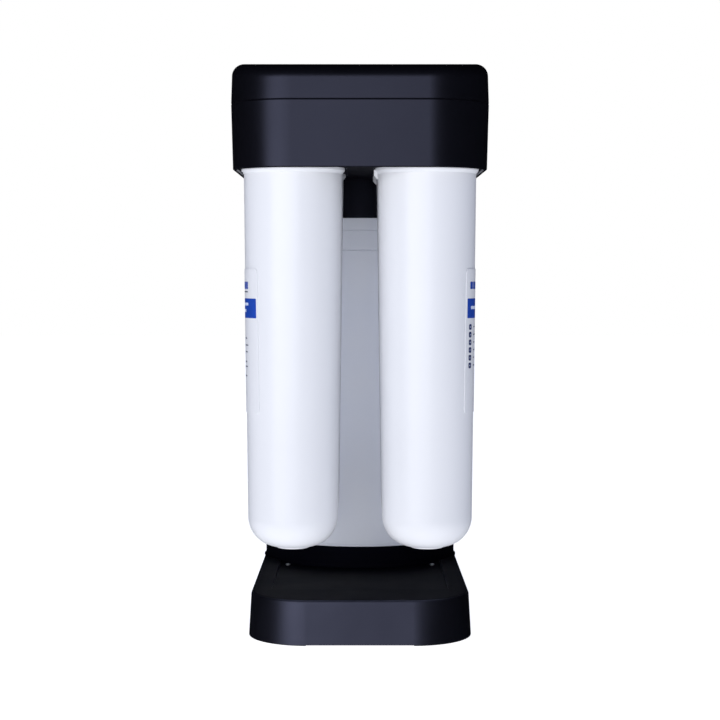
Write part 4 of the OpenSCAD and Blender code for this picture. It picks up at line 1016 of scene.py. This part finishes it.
def makePort(name):
    look = portLook
    low, high = portBoxes[name]
    x, z = (low.x + high.x) / 2, (low.z + high.z) / 2
    bayY = casingHigh.y - bay["deep"]
    flangeY = bayY + look["flangeThick"]
    rootY = low.y + look["nippleLength"]
    seatY = rootY + look["seatFrom"]
    sealY = seatY + look["seatDepth"]
    roomY = sealY + look["sealWidth"]
    barrel, seat, seal, bore = look["barrel"], look["seat"], look["sealRoom"], look["bore"]
    line = [(bore, low.y), (look["nipple"], low.y, mm(0.3)), (look["nipple"], rootY), (barrel, rootY),
            (barrel, bayY), (look["flange"], bayY), (look["flange"], flangeY, mm(0.5)),
            (barrel, flangeY, mm(0.5))]
    for k in range(look["ribCount"]):
        y, deep = bayY + look["ribFrom"] + look["ribPitch"] * k, look["ribDepth"]
        line += [(barrel, y), (barrel - deep, y + deep), (barrel - deep, y + deep + look["ribFloor"]),
                 (barrel, y + 2 * deep + look["ribFloor"])]
    line += [(barrel, high.y, look["edge"]), (look["room"], high.y, mm(0.4)), (look["room"], roomY),
             (seal, roomY), (seal, sealY), (seat, sealY), (seat, seatY), (bore, seatY)]
    finishPiece(lathePiece(f"{name}PortBody", softened(line, 4, True), aimY(x, z), 96), whiteAcetal,
                "frame_and_tank", [f"{name}_port"], 35)
    look = colletLook
    low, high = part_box(f"{name}_collet")
    lipY = high.y - look["lipThick"]
    sleeve = [(look["bore"], low.y), (look["sleeve"], low.y, mm(0.3)), (look["sleeve"], lipY, mm(0.3)),
              (look["lip"], lipY, mm(0.3)), (look["lip"], high.y, look["edge"]),
              (look["mouth"], high.y, mm(0.4)), (look["bore"], high.y - look["mouthDepth"], mm(0.3))]
    finishPiece(lathePiece(f"{name}ColletBody", softened(sleeve, 4, True), aimY(x, z), 96), colletAcetal,
                f"{name}_release", [f"{name}_collet"], 35)


for portName in portBoxes:
    makePort(portName)
print("ports made")


# floor, room and lights

# a painted board under the unit: matt, and lit enough to read as plain white
paleFloor = makeFinish("paintedStudioBoard", {
    "colours": ("F6F7FA", "F2F4F8"), "blotchMm": 900, "roughness": (0.85, 0.9),
    "grainMm": 3, "grainDepthMm": 0.02, "grainStrength": 0.1,
    "sockets": {"Specular IOR Level": 0.0, "Emission Color": linear("FFFFFF"), "Emission Strength": 0.95}})
floorLook = {"reach": 6.0, "squares": 12, "below": mm(0.2)}  # reach in metres, to each side


def makeFloor():
    mesh = bmesh.new()
    squareCount = floorLook["squares"]
    bmesh.ops.create_grid(mesh, x_segments=squareCount, y_segments=squareCount, size=floorLook["reach"])
    floor = makePiece("studioFloor", mesh)
    floor.location.z = -floorLook["below"]
    floor.data.materials.append(paleFloor)
    floor.visible_glossy = False


makeFloor()

# a white room, seen dark in reflections so that black mouldings keep their depth
room = {"seen": ("FFFFFF", 1.0), "ambient": ("A4BEFF", 0.2), "mirror": ("0A0A0E", 1.0)}


def makeRoom():
    world = bpy.data.worlds.new("studioRoom")
    bpy.context.scene.world = world
    world.use_nodes = True
    tree = world.node_tree
    tree.nodes.clear()
    path = addNode(tree, "ShaderNodeLightPath")
    seen, fill, dark = [addNode(tree, "ShaderNodeBackground", {"Color": linear(colour), "Strength": strength})
                        for colour, strength in (room["seen"], room["ambient"], room["mirror"])]
    lit = addNode(tree, "ShaderNodeMixShader", {},
                  {0: path.outputs["Is Glossy Ray"], 1: fill.outputs[0], 2: dark.outputs[0]})
    whole = addNode(tree, "ShaderNodeMixShader", {},
                    {0: path.outputs["Is Camera Ray"], 1: lit.outputs[0], 2: seen.outputs[0]})
    addNode(tree, "ShaderNodeOutputWorld", {}, {"Surface": whole.outputs[0]})


makeRoom()

# flat panels in front: centre, size and brightness of each, in metres
panels = {
    "frontPanel": {"centre": (-0.13, -2.1, 0.15), "size": (0.95, 2.1), "glow": 2.45},
    "leftPanel": {"centre": (-1.47, -2.1, 0.15), "size": (1.73, 2.1), "glow": 3.2}}


def makePanels():
    for name, look in panels.items():
        light = bpy.data.lights.new(name, "AREA")
        light.shape = "RECTANGLE"
        light.size, light.size_y = look["size"]
        light.energy = look["glow"] * math.pi * look["size"][0] * look["size"][1]
        lamp = bpy.data.objects.new(name, light)
        bpy.context.scene.collection.objects.link(lamp)
        lamp.location = look["centre"]
        lamp.rotation_euler = (math.radians(90), 0, 0)
        lamp.visible_camera = False


makePanels()
bpy.context.scene.view_settings.view_transform = "Standard"
print("studio lit")
